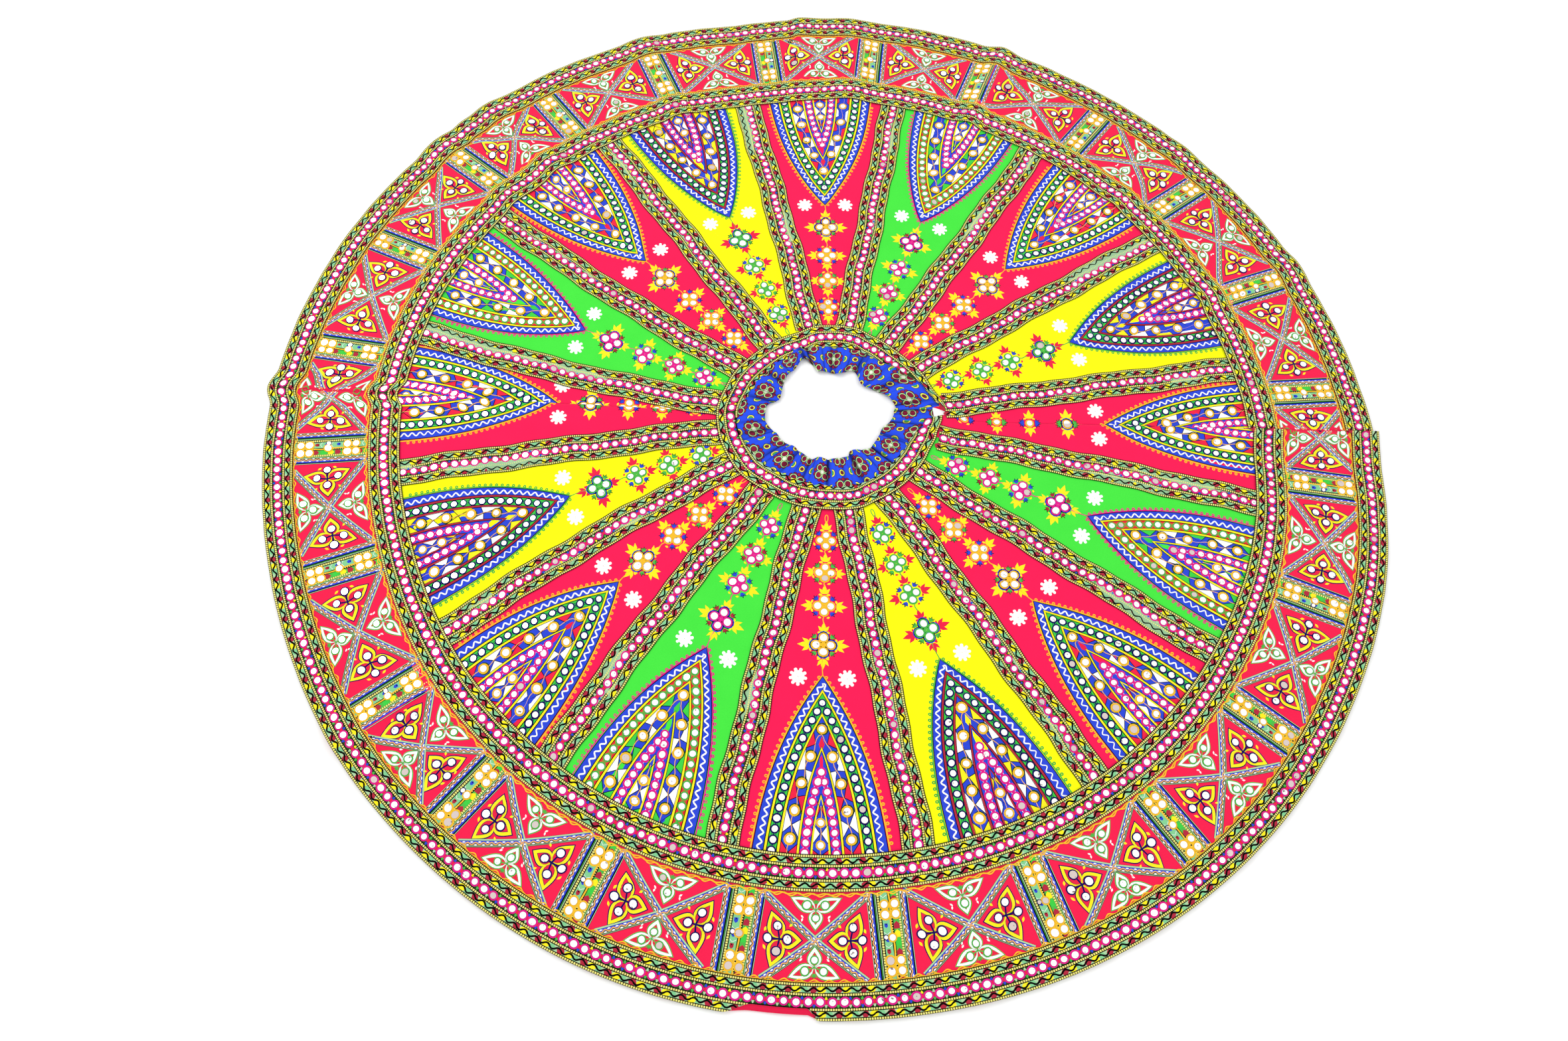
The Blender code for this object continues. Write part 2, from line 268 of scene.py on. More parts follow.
def effect(name, inputs, outputs):
    """An empty node group with its sockets, and its input and output nodes."""
    group = bpy.data.node_groups.new(name, "ShaderNodeTree")
    for label, kind, value in inputs:
        socket = group.interface.new_socket(label, in_out="INPUT", socket_type=f"NodeSocket{kind}")
        if value is not None:
            socket.default_value = value
    for label, kind in outputs:
        group.interface.new_socket(label, in_out="OUTPUT", socket_type=f"NodeSocket{kind}")
    return group, group.nodes.new("NodeGroupInput"), group.nodes.new("NodeGroupOutput")


# %% Woven cloth
def make_woven():
    """Crossed threads with slubs: a shade from 0 to 1 and a height."""
    inputs = [("Vector", "Vector", None), ("Threads", "Float", 1.6)]
    group, given, made = effect("woven cloth", inputs, [("Shade", "Float"), ("Height", "Float")])
    do = partial(sums, group)
    where = add(group, "ShaderNodeVectorMath", given.outputs[0], operation="SCALE")
    group.links.new(given.outputs[1], where.inputs["Scale"])
    parts = add(group, "ShaderNodeSeparateXYZ", where.outputs[0])
    ribs = [do("SINE", do("MULTIPLY", parts.outputs[i], math.pi)) for i in (0, 1)]
    slub = add(group, "ShaderNodeTexNoise", given.outputs[0], None, 0.35, 3.0).outputs[0]
    cloud = add(group, "ShaderNodeTexNoise", given.outputs[0], None, 0.02, 2.0).outputs[0]
    shade = do("ADD", do("MULTIPLY", slub, 0.5), do("MULTIPLY", cloud, 0.5))
    group.links.new(shade, made.inputs[0])
    group.links.new(do("ADD", do("MULTIPLY", do("MULTIPLY", *ribs), 0.5), slub), made.inputs[1])
    return group


def make_satin():
    """Threads laid side by side across the length of a shape: a height, and a gloss that wanders."""
    inputs = [("Vector", "Vector", None), ("Pitch", "Float", 0.8)]
    group, given, made = effect("satin stitch", inputs, [("Height", "Float"), ("Gloss", "Float")])
    do = partial(sums, group)
    parts = add(group, "ShaderNodeSeparateXYZ", given.outputs[0])
    slant = do("MULTIPLY_ADD", parts.outputs[1], 0.35, parts.outputs[0])
    turn = do("MULTIPLY", do("DIVIDE", slant, given.outputs[1]), 2.0 * math.pi)
    fuzz = add(group, "ShaderNodeTexNoise", given.outputs[0], None, 1.2, 2.0).outputs[0]
    thread = do("ABSOLUTE", do("SINE", turn))
    group.links.new(do("ADD", thread, do("MULTIPLY", fuzz, 0.6)), made.inputs[0])
    group.links.new(do("MULTIPLY_ADD", fuzz, 0.3, 0.38), made.inputs[1])
    return group


woven, satin = make_woven(), make_satin()
print("effects:", woven.name, "and", satin.name)


# %% Cloth, thread and mirror finishes
def blank(name):
    """A new material with its node tree, shader and the piece's own UV map."""
    material = bpy.data.materials.new(name)
    material.use_nodes = True
    tree = material.node_tree
    return material, tree, tree.nodes["Principled BSDF"], add(tree, "ShaderNodeTexCoord").outputs["UV"]


def set_all(shader, **values):
    """Plain values on the shader's own sockets."""
    for key, value in values.items():
        shader.inputs[key.replace("_", " ")].default_value = value


@cache
def cloth_finish(name, light, dark, threads=1.6):
    """Dyed cotton, between a light and a dark shade of one colour."""
    material, tree, shader, uv = blank(name)
    weave = add(tree, "ShaderNodeGroup", uv, threads, node_tree=woven)
    tint = add(tree, "ShaderNodeMix", data_type="RGBA")
    tree.links.new(weave.outputs["Shade"], tint.inputs["Factor"])
    tint.inputs[6].default_value, tint.inputs[7].default_value = dye(dark), dye(light)
    tree.links.new(tint.outputs[2], shader.inputs["Base Color"])
    bumped(tree, shader, weave.outputs["Height"])
    set_all(shader, Roughness=0.8, Specular_IOR_Level=0.12, Sheen_Weight=0.04, Sheen_Roughness=0.5)
    return material


@cache
def thread_finish(name, colour):
    """Embroidery thread of one colour, stitched across the shape; dark thread has little gloss."""
    material, tree, shader, uv = blank(name)
    stitch = add(tree, "ShaderNodeGroup", uv, node_tree=satin)
    bumped(tree, shader, stitch.outputs["Height"], 0.6)
    tree.links.new(stitch.outputs["Gloss"], shader.inputs["Roughness"])
    dark = max(dye(colour)[:3]) < 0.15
    set_all(shader, Base_Color=dye(colour), Specular_IOR_Level=0.04 if dark else 0.16)
    return material


def mirror_finish(name, colour, metallic):
    """A little mirror, silvered and a bit uneven, with flecks of painted dark reflection."""
    material, tree, shader, _ = blank(name)
    place = add(tree, "ShaderNodeTexCoord").outputs["Object"]
    cloud = add(tree, "ShaderNodeTexNoise", place, None, 160.0, 2.0)
    tree.links.new(sums(tree, "MULTIPLY", cloud.outputs[0], 0.22), shader.inputs["Roughness"])
    # Painted reflection: grey-brown flecks from noise, standing in for darker things mirrored in the glass.
    spot = add(tree, "ShaderNodeTexNoise", place, None, 150.0, 1.0).outputs[0]
    painted_dark_reflection = add(tree, "ShaderNodeMath", spot, 12.0, -8.1, operation="MULTIPLY_ADD", use_clamp=True)
    tree.links.new(layered(tree, dye(colour), painted_dark_reflection.outputs[0], "8c7a76"), shader.inputs["Base Color"])
    set_all(shader, Metallic=metallic)
    return material


COLOURS = dict(
    black="060605", navy="140a5c", blue="2846d8", white="fcfcfa", pale="b4d8a8", green="3cd044", leaf="4cbc48",
    mint="84d094", moss="2c4a20", yellow="fbee1c", straw="f2ea84", gold="fcc42a", peach="f4b468",
    maroon="b4243c", red="ee1c44", scarlet="ee2434", pink="ea1490",
)
FINISHES = {name: thread_finish(f"{name} thread", code) for name, code in COLOURS.items()}
FINISHES["mirror"] = mirror_finish("bright mirror", "ffffff", 0.9)
# Painted reflection: a greyer copy of the mirror, for mirrors that would show darker surroundings.
FINISHES["dull mirror"] = mirror_finish("dull mirror", "dccdc8", 0.8)
GORE_CLOTH = {
    "pink": cloth_finish("pink gore cotton", "fa1a58", "ee164c"),
    "yellow": cloth_finish("yellow gore cotton", "ffff10", "f6f600"),
    "green": cloth_finish("green gore cotton", "4ce845", "3cd83a"),
}
BORDER_CLOTH = cloth_finish("red border cotton", "f42050", "e81a46")
RIBBON_CLOTH = cloth_finish("ribbon ground", "b8dcae", "7fae80", 2.2)
print("finishes:", len(FINISHES) + len(GORE_CLOTH) + 2)

# %% [markdown]
# ## Drawing embroidery on the flat
# The handwork is drawn flat, in millimetres, as a tailor would chalk it: x across, y outwards, z off the
# cloth. Each stitch shape starts as a small bmesh, made once. A strip is a grid whose points are moved on
# to two edges, and a stamp is a small shape laid many times over. One piece of work collects them all, and
# sew() lays the lot on the cloth as one mesh, which is far quicker than thousands of objects.

# %% Shapes as arrays
MM = 0.001
TAPE = np.array(((0.0, 1.0), (1.0, 1.0)))
WIDE_TAPE = np.array([(k / 8.0, 1.0) for k in range(9)])
ROUND = np.array(((0.0, 0.0), (0.5, 1.0), (1.0, 0.0)))


def as_shape(bm, uv=None):
    """Points, UV places, corner indices and corners per face of a small mesh that faces up."""
    bmesh.ops.recalc_face_normals(bm, faces=bm.faces)
    bm.normal_update()
    if sum(f.normal.z * f.calc_area() for f in bm.faces) < 0.0:
        bmesh.ops.reverse_faces(bm, faces=bm.faces)
    bm.verts.index_update()
    points = np.array([v.co[:] for v in bm.verts])
    corners = np.array([v.index for f in bm.faces for v in f.verts])
    sizes = np.array([len(f.verts) for f in bm.faces])
    bm.free()
    return points, points[:, :2].copy() if uv is None else uv(points), corners, sizes


@cache
def grid(columns, rows):
    """A flat grid, whose points count columns and rows."""
    bm = bmesh.new()
    bmesh.ops.create_grid(bm, x_segments=columns, y_segments=rows, size=0.5)
    points, _, corners, sizes = as_shape(bm)
    return np.rint((points[:, :2] + 0.5) * (columns, rows)).astype(int), corners, sizes


def patches(*outlines):
    """Small padded shapes, each drawn counter-clockwise, poked up 1 mm in the middle."""
    bm = bmesh.new()
    for outline_ in outlines:
        bm.faces.new([bm.verts.new((x, y, 0.0)) for x, y in outline_]).normal_update()
    bmesh.ops.poke(bm, faces=bm.faces[:], offset=1.0, center_mode="MEAN")
    return as_shape(bm)


def mirrored(outline_):
    """The same outline on the other side of the y axis."""
    return [(-x, y) for x, y in reversed(outline_)]


@cache
def ring(inner, outer, steps=12):
    """A raised ring of thread, with its UV running round it."""
    bm = bmesh.new()
    profile = ((inner, 0.0), (0.5 * (inner + outer), 1.0), (outer, 0.0))
    section = [bm.verts.new((r, 0.0, z)) for r, z in profile]
    rim = [bm.edges.new(pair) for pair in zip(section, section[1:])]
    bmesh.ops.spin(bm, geom=section + rim, axis=(0, 0, 1), angle=2 * math.pi, steps=steps, use_merge=True)
    turn = lambda p: np.stack([np.arctan2(p[:, 1], p[:, 0]) * outer, np.hypot(p[:, 0], p[:, 1])], -1)
    return as_shape(bm, turn)


@cache
def disc(radius, steps=12):
    """A mirror: a flat disc."""
    bm = bmesh.new()
    bmesh.ops.create_circle(bm, cap_ends=True, segments=steps, radius=radius)
    return as_shape(bm)


# %% Paths
def towards(turn):
    """The unit step that faces each angle."""
    return np.stack([np.cos(turn), np.sin(turn)], -1)


def walk(path, pitch, whole=1):
    """Evenly spaced places along a path, the way it runs at each, and the run so far."""
    path = np.asarray(path, float)
    run = np.r_[0.0, np.cumsum(np.hypot(*np.diff(path, axis=0).T))]
    count = whole * max(1, round(run[-1] / pitch / whole))
    steps = np.linspace(0.0, run[-1], count + 1)
    at = np.stack([np.interp(steps, run, path[:, i]) for i in (0, 1)], -1)
    ahead = np.gradient(at, axis=0)
    return at, np.arctan2(ahead[:, 1], ahead[:, 0]), steps


def beside(path, aside):
    """The path moved to its own left by aside."""
    path = np.asarray(path, float)
    ahead = np.gradient(path, axis=0)
    if np.allclose(path[0], path[-1]):
        ahead[0] = ahead[-1] = path[1] - path[-2]
    ahead /= np.hypot(*ahead.T)[:, None]
    return path + np.stack([-ahead[:, 1], ahead[:, 0]], -1) * np.reshape(aside, (-1, 1))


def wavy(path, pitch, swing, steps=4, start=0.0):
    """The path swung from side to side, with steps points to each wave."""
    at, turn, run = walk(path, pitch / steps, steps)
    waves = len(at) // steps
    aside = swing * np.sin(2.0 * math.pi * (run / run[-1] * waves + start))
    return at + np.stack([-np.sin(turn), np.cos(turn)], -1) * aside[:, None]


# %% A piece of work
class Work:
    """Embroidery drawn on the flat in millimetres, ready to be laid on a piece."""

    def __init__(self):
        self.parts = []

    def strip(self, right, left, colour, lift=0.0, tall=0.3, section=TAPE):
        """A strip between two edges with as many points each, raised across by its section."""
        right, left = np.asarray(right, float), np.asarray(left, float)
        count, corners, sizes = grid(len(right) - 1, len(section) - 1)
        i, j = count.T
        flat = right[i] + (left[i] - right[i]) * section[j, :1]
        middle = 0.5 * (right + left)
        run = np.r_[0.0, np.cumsum(np.hypot(*np.diff(middle, axis=0).T))]
        wide = np.hypot(*(left - right).T)
        uv = np.stack([run[i], wide[i] * section[j, 0]], -1)
        self.parts.append((np.c_[flat, lift + tall * section[j, 1]], uv, corners, sizes, colour))

    def line(self, path, width, colour, lift=0.0, tall=0.6, section=ROUND):
        """A line of stitching along a path."""
        self.strip(beside(path, -width / 2), beside(path, width / 2), colour, lift, tall, section)

    def stamp(self, shape, colour, at, turn=0.0, size=1.0, lift=0.0, tall=1.0, stretch=1.0):
        """One small shape laid at every place of at; stretch draws it out along its own y."""
        points, uv, corners, sizes = shape
        at = np.atleast_2d(np.asarray(at, float))
        count = len(at)
        if not count:
            return
        turn, size, stretch = (np.broadcast_to(v, count)[:, None] for v in (turn, size, stretch))
        x, y, z = points.T
        x, y = size * x, size * stretch * y
        laid = np.stack([
            at[:, :1] + x * np.cos(turn) - y * np.sin(turn),
            at[:, 1:] + x * np.sin(turn) + y * np.cos(turn),
            lift + tall * z + 0.0 * turn,
        ], -1)
        spread = (corners + len(points) * np.arange(count)[:, None]).ravel()
        uv, sizes = np.tile(uv, (count, 1)), np.tile(sizes, count)
        self.parts.append((laid.reshape(-1, 3), uv, spread, sizes, colour))

    def mirrors(self, at, ring_colour, radius, thread, lift, tall=1.3, turned=6.0, drawn=(0.90, 1.12)):
        """Mirrors, each held down by a ring of thread; none is quite round, and a few are given the greyer
        mirror as a painted darker reflection.
        """
        at = np.atleast_2d(np.asarray(at, float))
        # A few mirrors, at random, get the greyer mirror finish: painted darker reflection.
        reflects_darker, size = rng.random(len(at)) < 0.05, rng.uniform(0.92, 1.06, len(at))
        turn, stretch = rng.uniform(-turned, turned, len(at)), rng.uniform(*drawn, len(at))
        for flag, glass in ((False, "mirror"), (True, "dull mirror")):
            here = reflects_darker == flag
            self.stamp(disc(radius), glass, at[here], turn[here], size[here], lift + 0.9, 1.0, stretch[here])
        self.stamp(ring(radius - 0.4, radius + thread), ring_colour, at, turn, size, lift, tall, stretch)


def placed(name, data):
    """An object for a mesh, a light or the camera, put in the scene."""
    item = bpy.data.objects.new(name, data)
    bpy.context.scene.collection.objects.link(item)
    return item


def sew(name, work, place):
    """Lays the work with place(x, y, z), in metres, and joins it as one mesh."""
    points, uv, corners, sizes, colours = ([part[i] for part in work.parts] for i in range(5))
    starts = np.cumsum([0] + [len(p) for p in points[:-1]])
    corners = np.concatenate([c + s for c, s in zip(corners, starts)])
    used = sorted(set(colours))
    slots = np.concatenate([np.full(len(s), used.index(c)) for s, c in zip(sizes, colours)])
    points, uv, sizes = np.concatenate(points) * MM, np.concatenate(uv), np.concatenate(sizes)
    mesh = bpy.data.meshes.new(name)
    mesh.vertices.add(len(points))
    mesh.loops.add(len(corners))
    mesh.polygons.add(len(sizes))
    mesh.vertices.foreach_set("co", place(*points.T).ravel())
    mesh.loops.foreach_set("vertex_index", corners)
    mesh.polygons.foreach_set("loop_start", np.cumsum(np.r_[0, sizes[:-1]]))
    mesh.polygons.foreach_set("material_index", slots)
    mesh.polygons.foreach_set("use_smooth", np.ones(len(sizes), bool))
    mesh.uv_layers.new(name="UVMap").data.foreach_set("uv", uv[corners].ravel())
    for colour in used:
        mesh.materials.append(FINISHES[colour])
    mesh.update(calc_edges=True)
    mesh.validate()
    piece = placed(name, mesh)
    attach(piece, "root")
    return piece


def faces_of(piece):
    """How many triangles a piece has."""
    return sum(len(p.vertices) - 2 for p in piece.data.polygons)


# %% [markdown]
# ## Cloth as a closed wall
# Each cut piece of cloth is a grid that is extruded up by its thickness. Then every point is moved to where
# it lies, as the CAD pieces are, only far finer. The UV map holds millimetres across and along.


# %% Cloth pieces
def cloth(name, columns, rows, place, wall, finish):
    """One closed wall of cloth: place(u, v) lays a grid whose u and v run from 0 to 1."""
    bm = bmesh.new()
    bmesh.ops.create_grid(bm, x_segments=columns, y_segments=rows, size=0.5)
    upper = bmesh.ops.extrude_face_region(bm, geom=bm.faces[:])["geom"]
    tops = {part for part in upper if isinstance(part, bmesh.types.BMVert)}
    u, v = (np.array([vert.co[i] + 0.5 for vert in bm.verts]) for i in (0, 1))
    laid = place(u, v)
    across = place(np.array([0.0, 1.0]), np.array([0.5, 0.5]))
    along = place(np.array([0.5, 0.5]), np.array([0.0, 1.0]))
    wide, long = (np.linalg.norm(pair[1] - pair[0]) / MM for pair in (across, along))
    layer = bm.loops.layers.uv.new("UVMap")
    bm.verts.index_update()
    for vert, (x, y, z) in zip(bm.verts, laid):
        vert.co = (x, y, z + wall if vert in tops else z)
    for face in bm.faces:
        for loop in face.loops:
            loop[layer].uv = (u[loop.vert.index] * wide, v[loop.vert.index] * long)
    bmesh.ops.recalc_face_normals(bm, faces=bm.faces)
    for face in bm.faces:
        face.smooth = True
    mesh = bpy.data.meshes.new(name)
    bm.to_mesh(mesh)
    bm.free()
    mesh.materials.append(finish)
    piece = placed(name, mesh)
    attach(piece, "root")
    return piece


# %% [markdown]
# ## The ribbon trim
# One ribbon is used everywhere: two outer and two inner lines of straw-coloured beads on black, a row of
# mirrors in hot pink rings down the middle, and between the bead lines a lane of maroon, yellow and mint
# leaves under a thick black wave. It is drawn straight, x across and y along, then laid down each seam or
# round a ring.

# %% Drawing a length of trim
BEAD = patches([(-1.4, -1.65), (1.4, -1.65), (1.4, 1.65), (-1.4, 1.65)])
LEAF = patches([(-5.4, -2.0), (-1.2, -6.8), (5.4, -4.0), (5.4, 2.0), (1.2, 6.8), (-5.4, 4.0)])
CHIP = patches([(-2.6, -2.4), (2.6, -2.4), (0.6, 2.8), (-0.6, 2.8)])
TWIST = patches([(-1.2, -3.4), (0.6, -3.6), (3.6, 0.0), (1.2, 3.4), (-0.6, 3.6), (-3.6, 0.0)])
BEAD_PITCH, MIRROR_PITCH, LEAF_CYCLE, STRIP_STEP = 4.0, 19.2, 41.0, 6.5
BEAD_LINES, LANES = (-26.4, -11.4, 11.2, 26.2), (-18.9, 18.7)
CHIPS = {-6.3: ("pale", "blue", "leaf", "yellow"), 6.1: ("leaf", "pale", "blue", "pale")}


def every(length, pitch, start=0.5):
    """Evenly spaced distances along a length."""
    count = max(1, round(length / pitch))
    return (np.arange(count) + start) * length / count


def spots(x, y):
    """Places at one x, or at an x for each y."""
    return np.stack(np.broadcast_arrays(np.asarray(x, float), y), -1)


def trim_work(length, shown=lambda at: np.full(len(at), True)):
    """The pattern of a straight trim, length mm long; shown tells which stamps are not tucked under."""
    work = Work()
    y = np.linspace(0.0, length, max(2, round(length / STRIP_STEP)) + 1)

    def set_down(shape, colour, at, *args, **kwargs):
        work.stamp(shape, colour, at[shown(at)], *args, **kwargs)

    for x in BEAD_LINES:
        work.strip(spots(x + 3.1, y), spots(x - 3.1, y), "black", tall=0.3)
        set_down(BEAD, "straw", spots(x, every(length, BEAD_PITCH)), math.pi / 2, lift=0.3, tall=0.9)
    for lane, side in zip(LANES, (-1.0, 1.0)):
        work.strip(spots(lane + 5.0, y), spots(lane - 5.0, y), "pale", tall=0.15)
        for colour, start, tall in (("maroon", 0.0, 1.02), ("yellow", 0.32, 1.12), ("mint", 0.64, 0.90)):
            at = spots(lane, every(length, LEAF_CYCLE, start) + rng.uniform(-1.5, 1.5))
            size = (tall * rng.uniform(0.88, 1.04, len(at)))[shown(at)]
            set_down(LEAF, colour, at, 0.0 if side > 0 else math.pi, size, lift=0.2, tall=0.45)
        path = np.stack([lane + 0.5 * np.sin(y / 31.0), y], -1)
        wave = wavy(path, LEAF_CYCLE / 2, 2.6, steps=8, start=rng.random())
        work.line(wave, 3.1, "black", lift=0.4, tall=0.9)
    middle = every(length, MIRROR_PITCH)
    at = spots(rng.uniform(-0.7, 0.7, len(middle)), middle + rng.uniform(-0.6, 0.6, len(middle)))
    between = spots(0.0, middle[:-1] + MIRROR_PITCH / 2)
    work.strip(spots(8.4, y), spots(-8.6, y), "moss", tall=0.15)
    for x, colours in CHIPS.items():
        for k, colour in enumerate(colours):
            set_down(CHIP, colour, spots(x, between[k::4, 1]), 1.57 if x < 0 else -1.57, lift=0.2, tall=0.4)
    set_down(TWIST, "red", between, lift=0.25, tall=0.9)
    work.mirrors(at[shown(at)], "pink", radius=5.3, thread=2.9, lift=0.3, turned=0.35, drawn=(0.96, 1.16))
    return work


print("bead lines:", BEAD_LINES, "lanes:", LANES)


# %% Radial trims, over the sixteen seams between gores
TRIM_LIFT = CLOTH + GAP
PILE, TUCK = 0.0008, 0.004
RING_LIFT = TRIM_LIFT + RIBBON + PILE
WANDER = ((0.0018, 30.0, 2.1), (0.0009, 77.0, 4.7))
TRIM_COLUMNS, RING_COLUMNS, WAIST_COLUMNS = 60, 480, 120
trims = []


def add_trim(name, columns, ribbon_place, work, place, length):
    """The ribbon of one trim, with its stitching laid on it."""
    ribbon = cloth(f"{name}_ribbon", 2, columns, ribbon_place, RIBBON, RIBBON_CLOTH)
    trims.append((name, ribbon, sew(f"{name}_stitching", work, place), length))
    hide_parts(name)


for number in range(GORES):
    middle = trim_azimuth(number, WAIST_R)
    start = float(np.max(outline(TRIM_OUTER, middle + np.linspace(-8.0, 8.0, 9)))) - TUCK
    length = YOKE_IN + TUCK - start

    def down_seam(x, y, z, number=number, start=start):
        radius = start + y
        for swing, turns, phase in WANDER:
            x = x + swing * np.sin(turns * radius + phase * number)
        return lay(trim_azimuth(number, radius) - np.degrees(x / radius), radius, z + TRIM_LIFT + RIBBON)

    def ribbon_place(u, v, place=down_seam, length=length):
        return place((u - 0.5) * TRIM_WIDTH, v * length, -RIBBON)

    name = f"radial_trim_{number + 1:02d}"
    add_trim(name, TRIM_COLUMNS, ribbon_place, trim_work(length / MM), down_seam, length)
print("radial trims:", len(trims), "triangles each about", faces_of(trims[0][2]))


# %% [markdown]
# ## Trims that run round
# The same ribbon covers the waist seam, the seam above the border and the hem. At the waist it is measured
# from its outer edge, because its inner edge is tucked under where the circle is tight. Its two ends there
# slant towards the slit.

# %% Ring trims
LEAN_REACH = 25.0


def slanted(azimuth, share):
    """Leans the ends of the waist trim over the slit; share runs from its inner edge to its outer."""
    back = np.maximum(1.0 - (azimuth - SLIT_BACK) / LEAN_REACH, 0.0) * (azimuth < 100.0)
    front = np.maximum(1.0 - (SLIT_FRONT - azimuth) / LEAN_REACH, 0.0) * (azimuth > 260.0)
    return azimuth + share * (SLIT_LEANS[1] * front - SLIT_LEANS[0] * back)


def ring_trim(name, start, end, inner, outer, columns):
    """A trim from one azimuth to another, whose edges inner(azimuth) and outer(azimuth) give."""
    waist, half = name.startswith("waist"), TRIM_WIDTH / 2.0
    around = np.linspace(start, end, 90)
    middle = float(np.mean(0.5 * (inner(around) + outer(around))))
    spread = float(np.max(outer(around) - inner(around)))
    length = math.radians(end - start) * middle

    def round_ring(x, y, z):
        azimuth = start + np.degrees(y / middle)
        low, high = inner(azimuth), outer(azimuth)
        if waist:
            radius = np.maximum(high - half + x, low)
            azimuth = slanted(azimuth, (radius - low) / (high - low))
        else:
            radius = np.minimum(low + (half + x) * spread / TRIM_WIDTH, high)
        return lay(azimuth, radius, z + RING_LIFT + RIBBON)

    def ribbon_place(u, v):
        azimuth = start + (end - start) * v
        radius = inner(azimuth) + (outer(azimuth) - inner(azimuth)) * u
        return lay(slanted(azimuth, u) if waist else azimuth, radius, RING_LIFT)

    def shown(at):
        azimuth = start + np.degrees(at[:, 1] * MM / middle)
        reach = outer(azimuth) - inner(azimuth)
        if waist:
            return at[:, 0] > (half - reach) / MM + 1.0
        return at[:, 0] < (TRIM_WIDTH * reach / spread - half) / MM + 1.0

    add_trim(name, columns, ribbon_place, trim_work(length / MM, shown), round_ring, length)


def level(radius):
    """An edge that keeps one radius."""
    return lambda azimuth: radius + 0.0 * np.asarray(azimuth, float)


def turned_under(azimuth):
    """1 along the stretch of hem where the trim's outer edge is turned under, and 0 elsewhere."""
    return smooth((azimuth - TURNED[0]) / 2.5) * smooth((TURNED[1] - azimuth) / 0.9)


HALVES = (("back", SEAM_BACK, SEAM_LEFT), ("front", SEAM_LEFT, 360.0 + SEAM_BACK))
waist_edges = [partial(outline, TRIM_INNER), partial(outline, TRIM_OUTER)]
hem_outer = lambda azimuth: HEM_OUT - TURNED_TRIM * turned_under(azimuth)
for half, start, end in HALVES:
    ring_trim(f"yoke_trim_{half}", start, end, level(YOKE_IN), level(YOKE_OUT), RING_COLUMNS)
    ring_trim(f"hem_trim_{half}", start, end, level(HEM_IN), hem_outer, RING_COLUMNS)
ring_trim("waist_trim_back", SLIT_BACK, SEAM_LEFT, *waist_edges, WAIST_COLUMNS)
ring_trim("waist_trim_front", SEAM_LEFT, SLIT_FRONT, *waist_edges, WAIST_COLUMNS)
print("trims in all:", len(trims), "triangles:", sum(faces_of(t[2]) for t in trims))

# %% [markdown]
# ## Gores
# The gores are long wedges in the order pink, yellow, pink, green. The two side seams run down the middle
# of two of the pink ones, so those are cut as half gores.

# %% The sixteen gores
def gore_cuts():
    """Every cut piece of the gores: name, number, first edge and last edge."""
    half, edge = GORES // 2, lambda n: (lambda radius: trim_azimuth(n, radius))
    whole = [(f"gore_{n + 1:02d}", n, edge(n - 1), edge(n)) for n in range(GORES)]
    return [
        ("gore_01_back", 0, right_seam, edge(0)), *whole[1:half],
        ("gore_09_back", half, edge(half - 1), left_seam), ("gore_09_front", half, left_seam, edge(half)),
        *whole[half + 1:], ("gore_01_front", 0, edge(GORES - 1), lambda radius: 360.0 + right_seam(radius)),
    ]


for name, number, first, last in gore_cuts():
    def gore_place(u, v, first=first, last=last):
        start = waist_seam(first(WAIST_R) + (last(WAIST_R) - first(WAIST_R)) * u) + GAP
        radius = start + (YOKE_SEAM - GAP - start) * v
        drawn = np.where(v == 0.0, WAIST_R, radius)
        spare = np.degrees(0.5 * GAP / radius)
        azimuth = first(drawn) + spare + (last(drawn) - first(drawn) - 2.0 * spare) * u
        return lay(azimuth, radius, 0.0)

    colour = GORE_COLOURS[number % len(GORE_COLOURS)]
    cloth(f"{name}_cloth", 20, 44, gore_place, CLOTH, GORE_CLOTH[colour])
    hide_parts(name)

# %% [markdown]
# ## The arch
# At the foot of every gore stands a pointed arch made of nested bands: scallops, a blue band with a white
# wave, mirrors on green or red, a band of diamonds with gold mirrors, mirrors on blue, and a narrow heart.
# Every band is the strip between two arches of one family, so an arch needs only its half width at the foot
# and the radius of its point.

# %% Arch curves
FOOT, OVER = 843.0, 0.014


def arch_at(half, apex, share):
    """A point of an arch; share runs from -1 at its left foot, over 0 at its point, to 1 at its right."""
    share = np.asarray(share, float)
    up = 1.0 - np.abs(share)
    bow = 1.0 - 0.4 * up - 0.6 * np.maximum(up, 0.0) ** 2.5
    return np.stack([np.sign(share) * half * bow, FOOT - up * (FOOT - apex)], -1)


def arch(half, apex, steps=22):
    """A whole arch, a little past its feet so that they tuck under the trim."""
    return arch_at(half, apex, np.linspace(-1.0 - OVER, 1.0 + OVER, 2 * steps + 1))


def between_arches(outer, inner):
    """The arch half way between two."""
    return (outer[0] + inner[0]) / 2, (outer[1] + inner[1]) / 2


def foot_share(apex, radius):
    """Share at which an arch's leg passes a radius."""
    return 1.0 - (FOOT - radius) / (FOOT - apex)


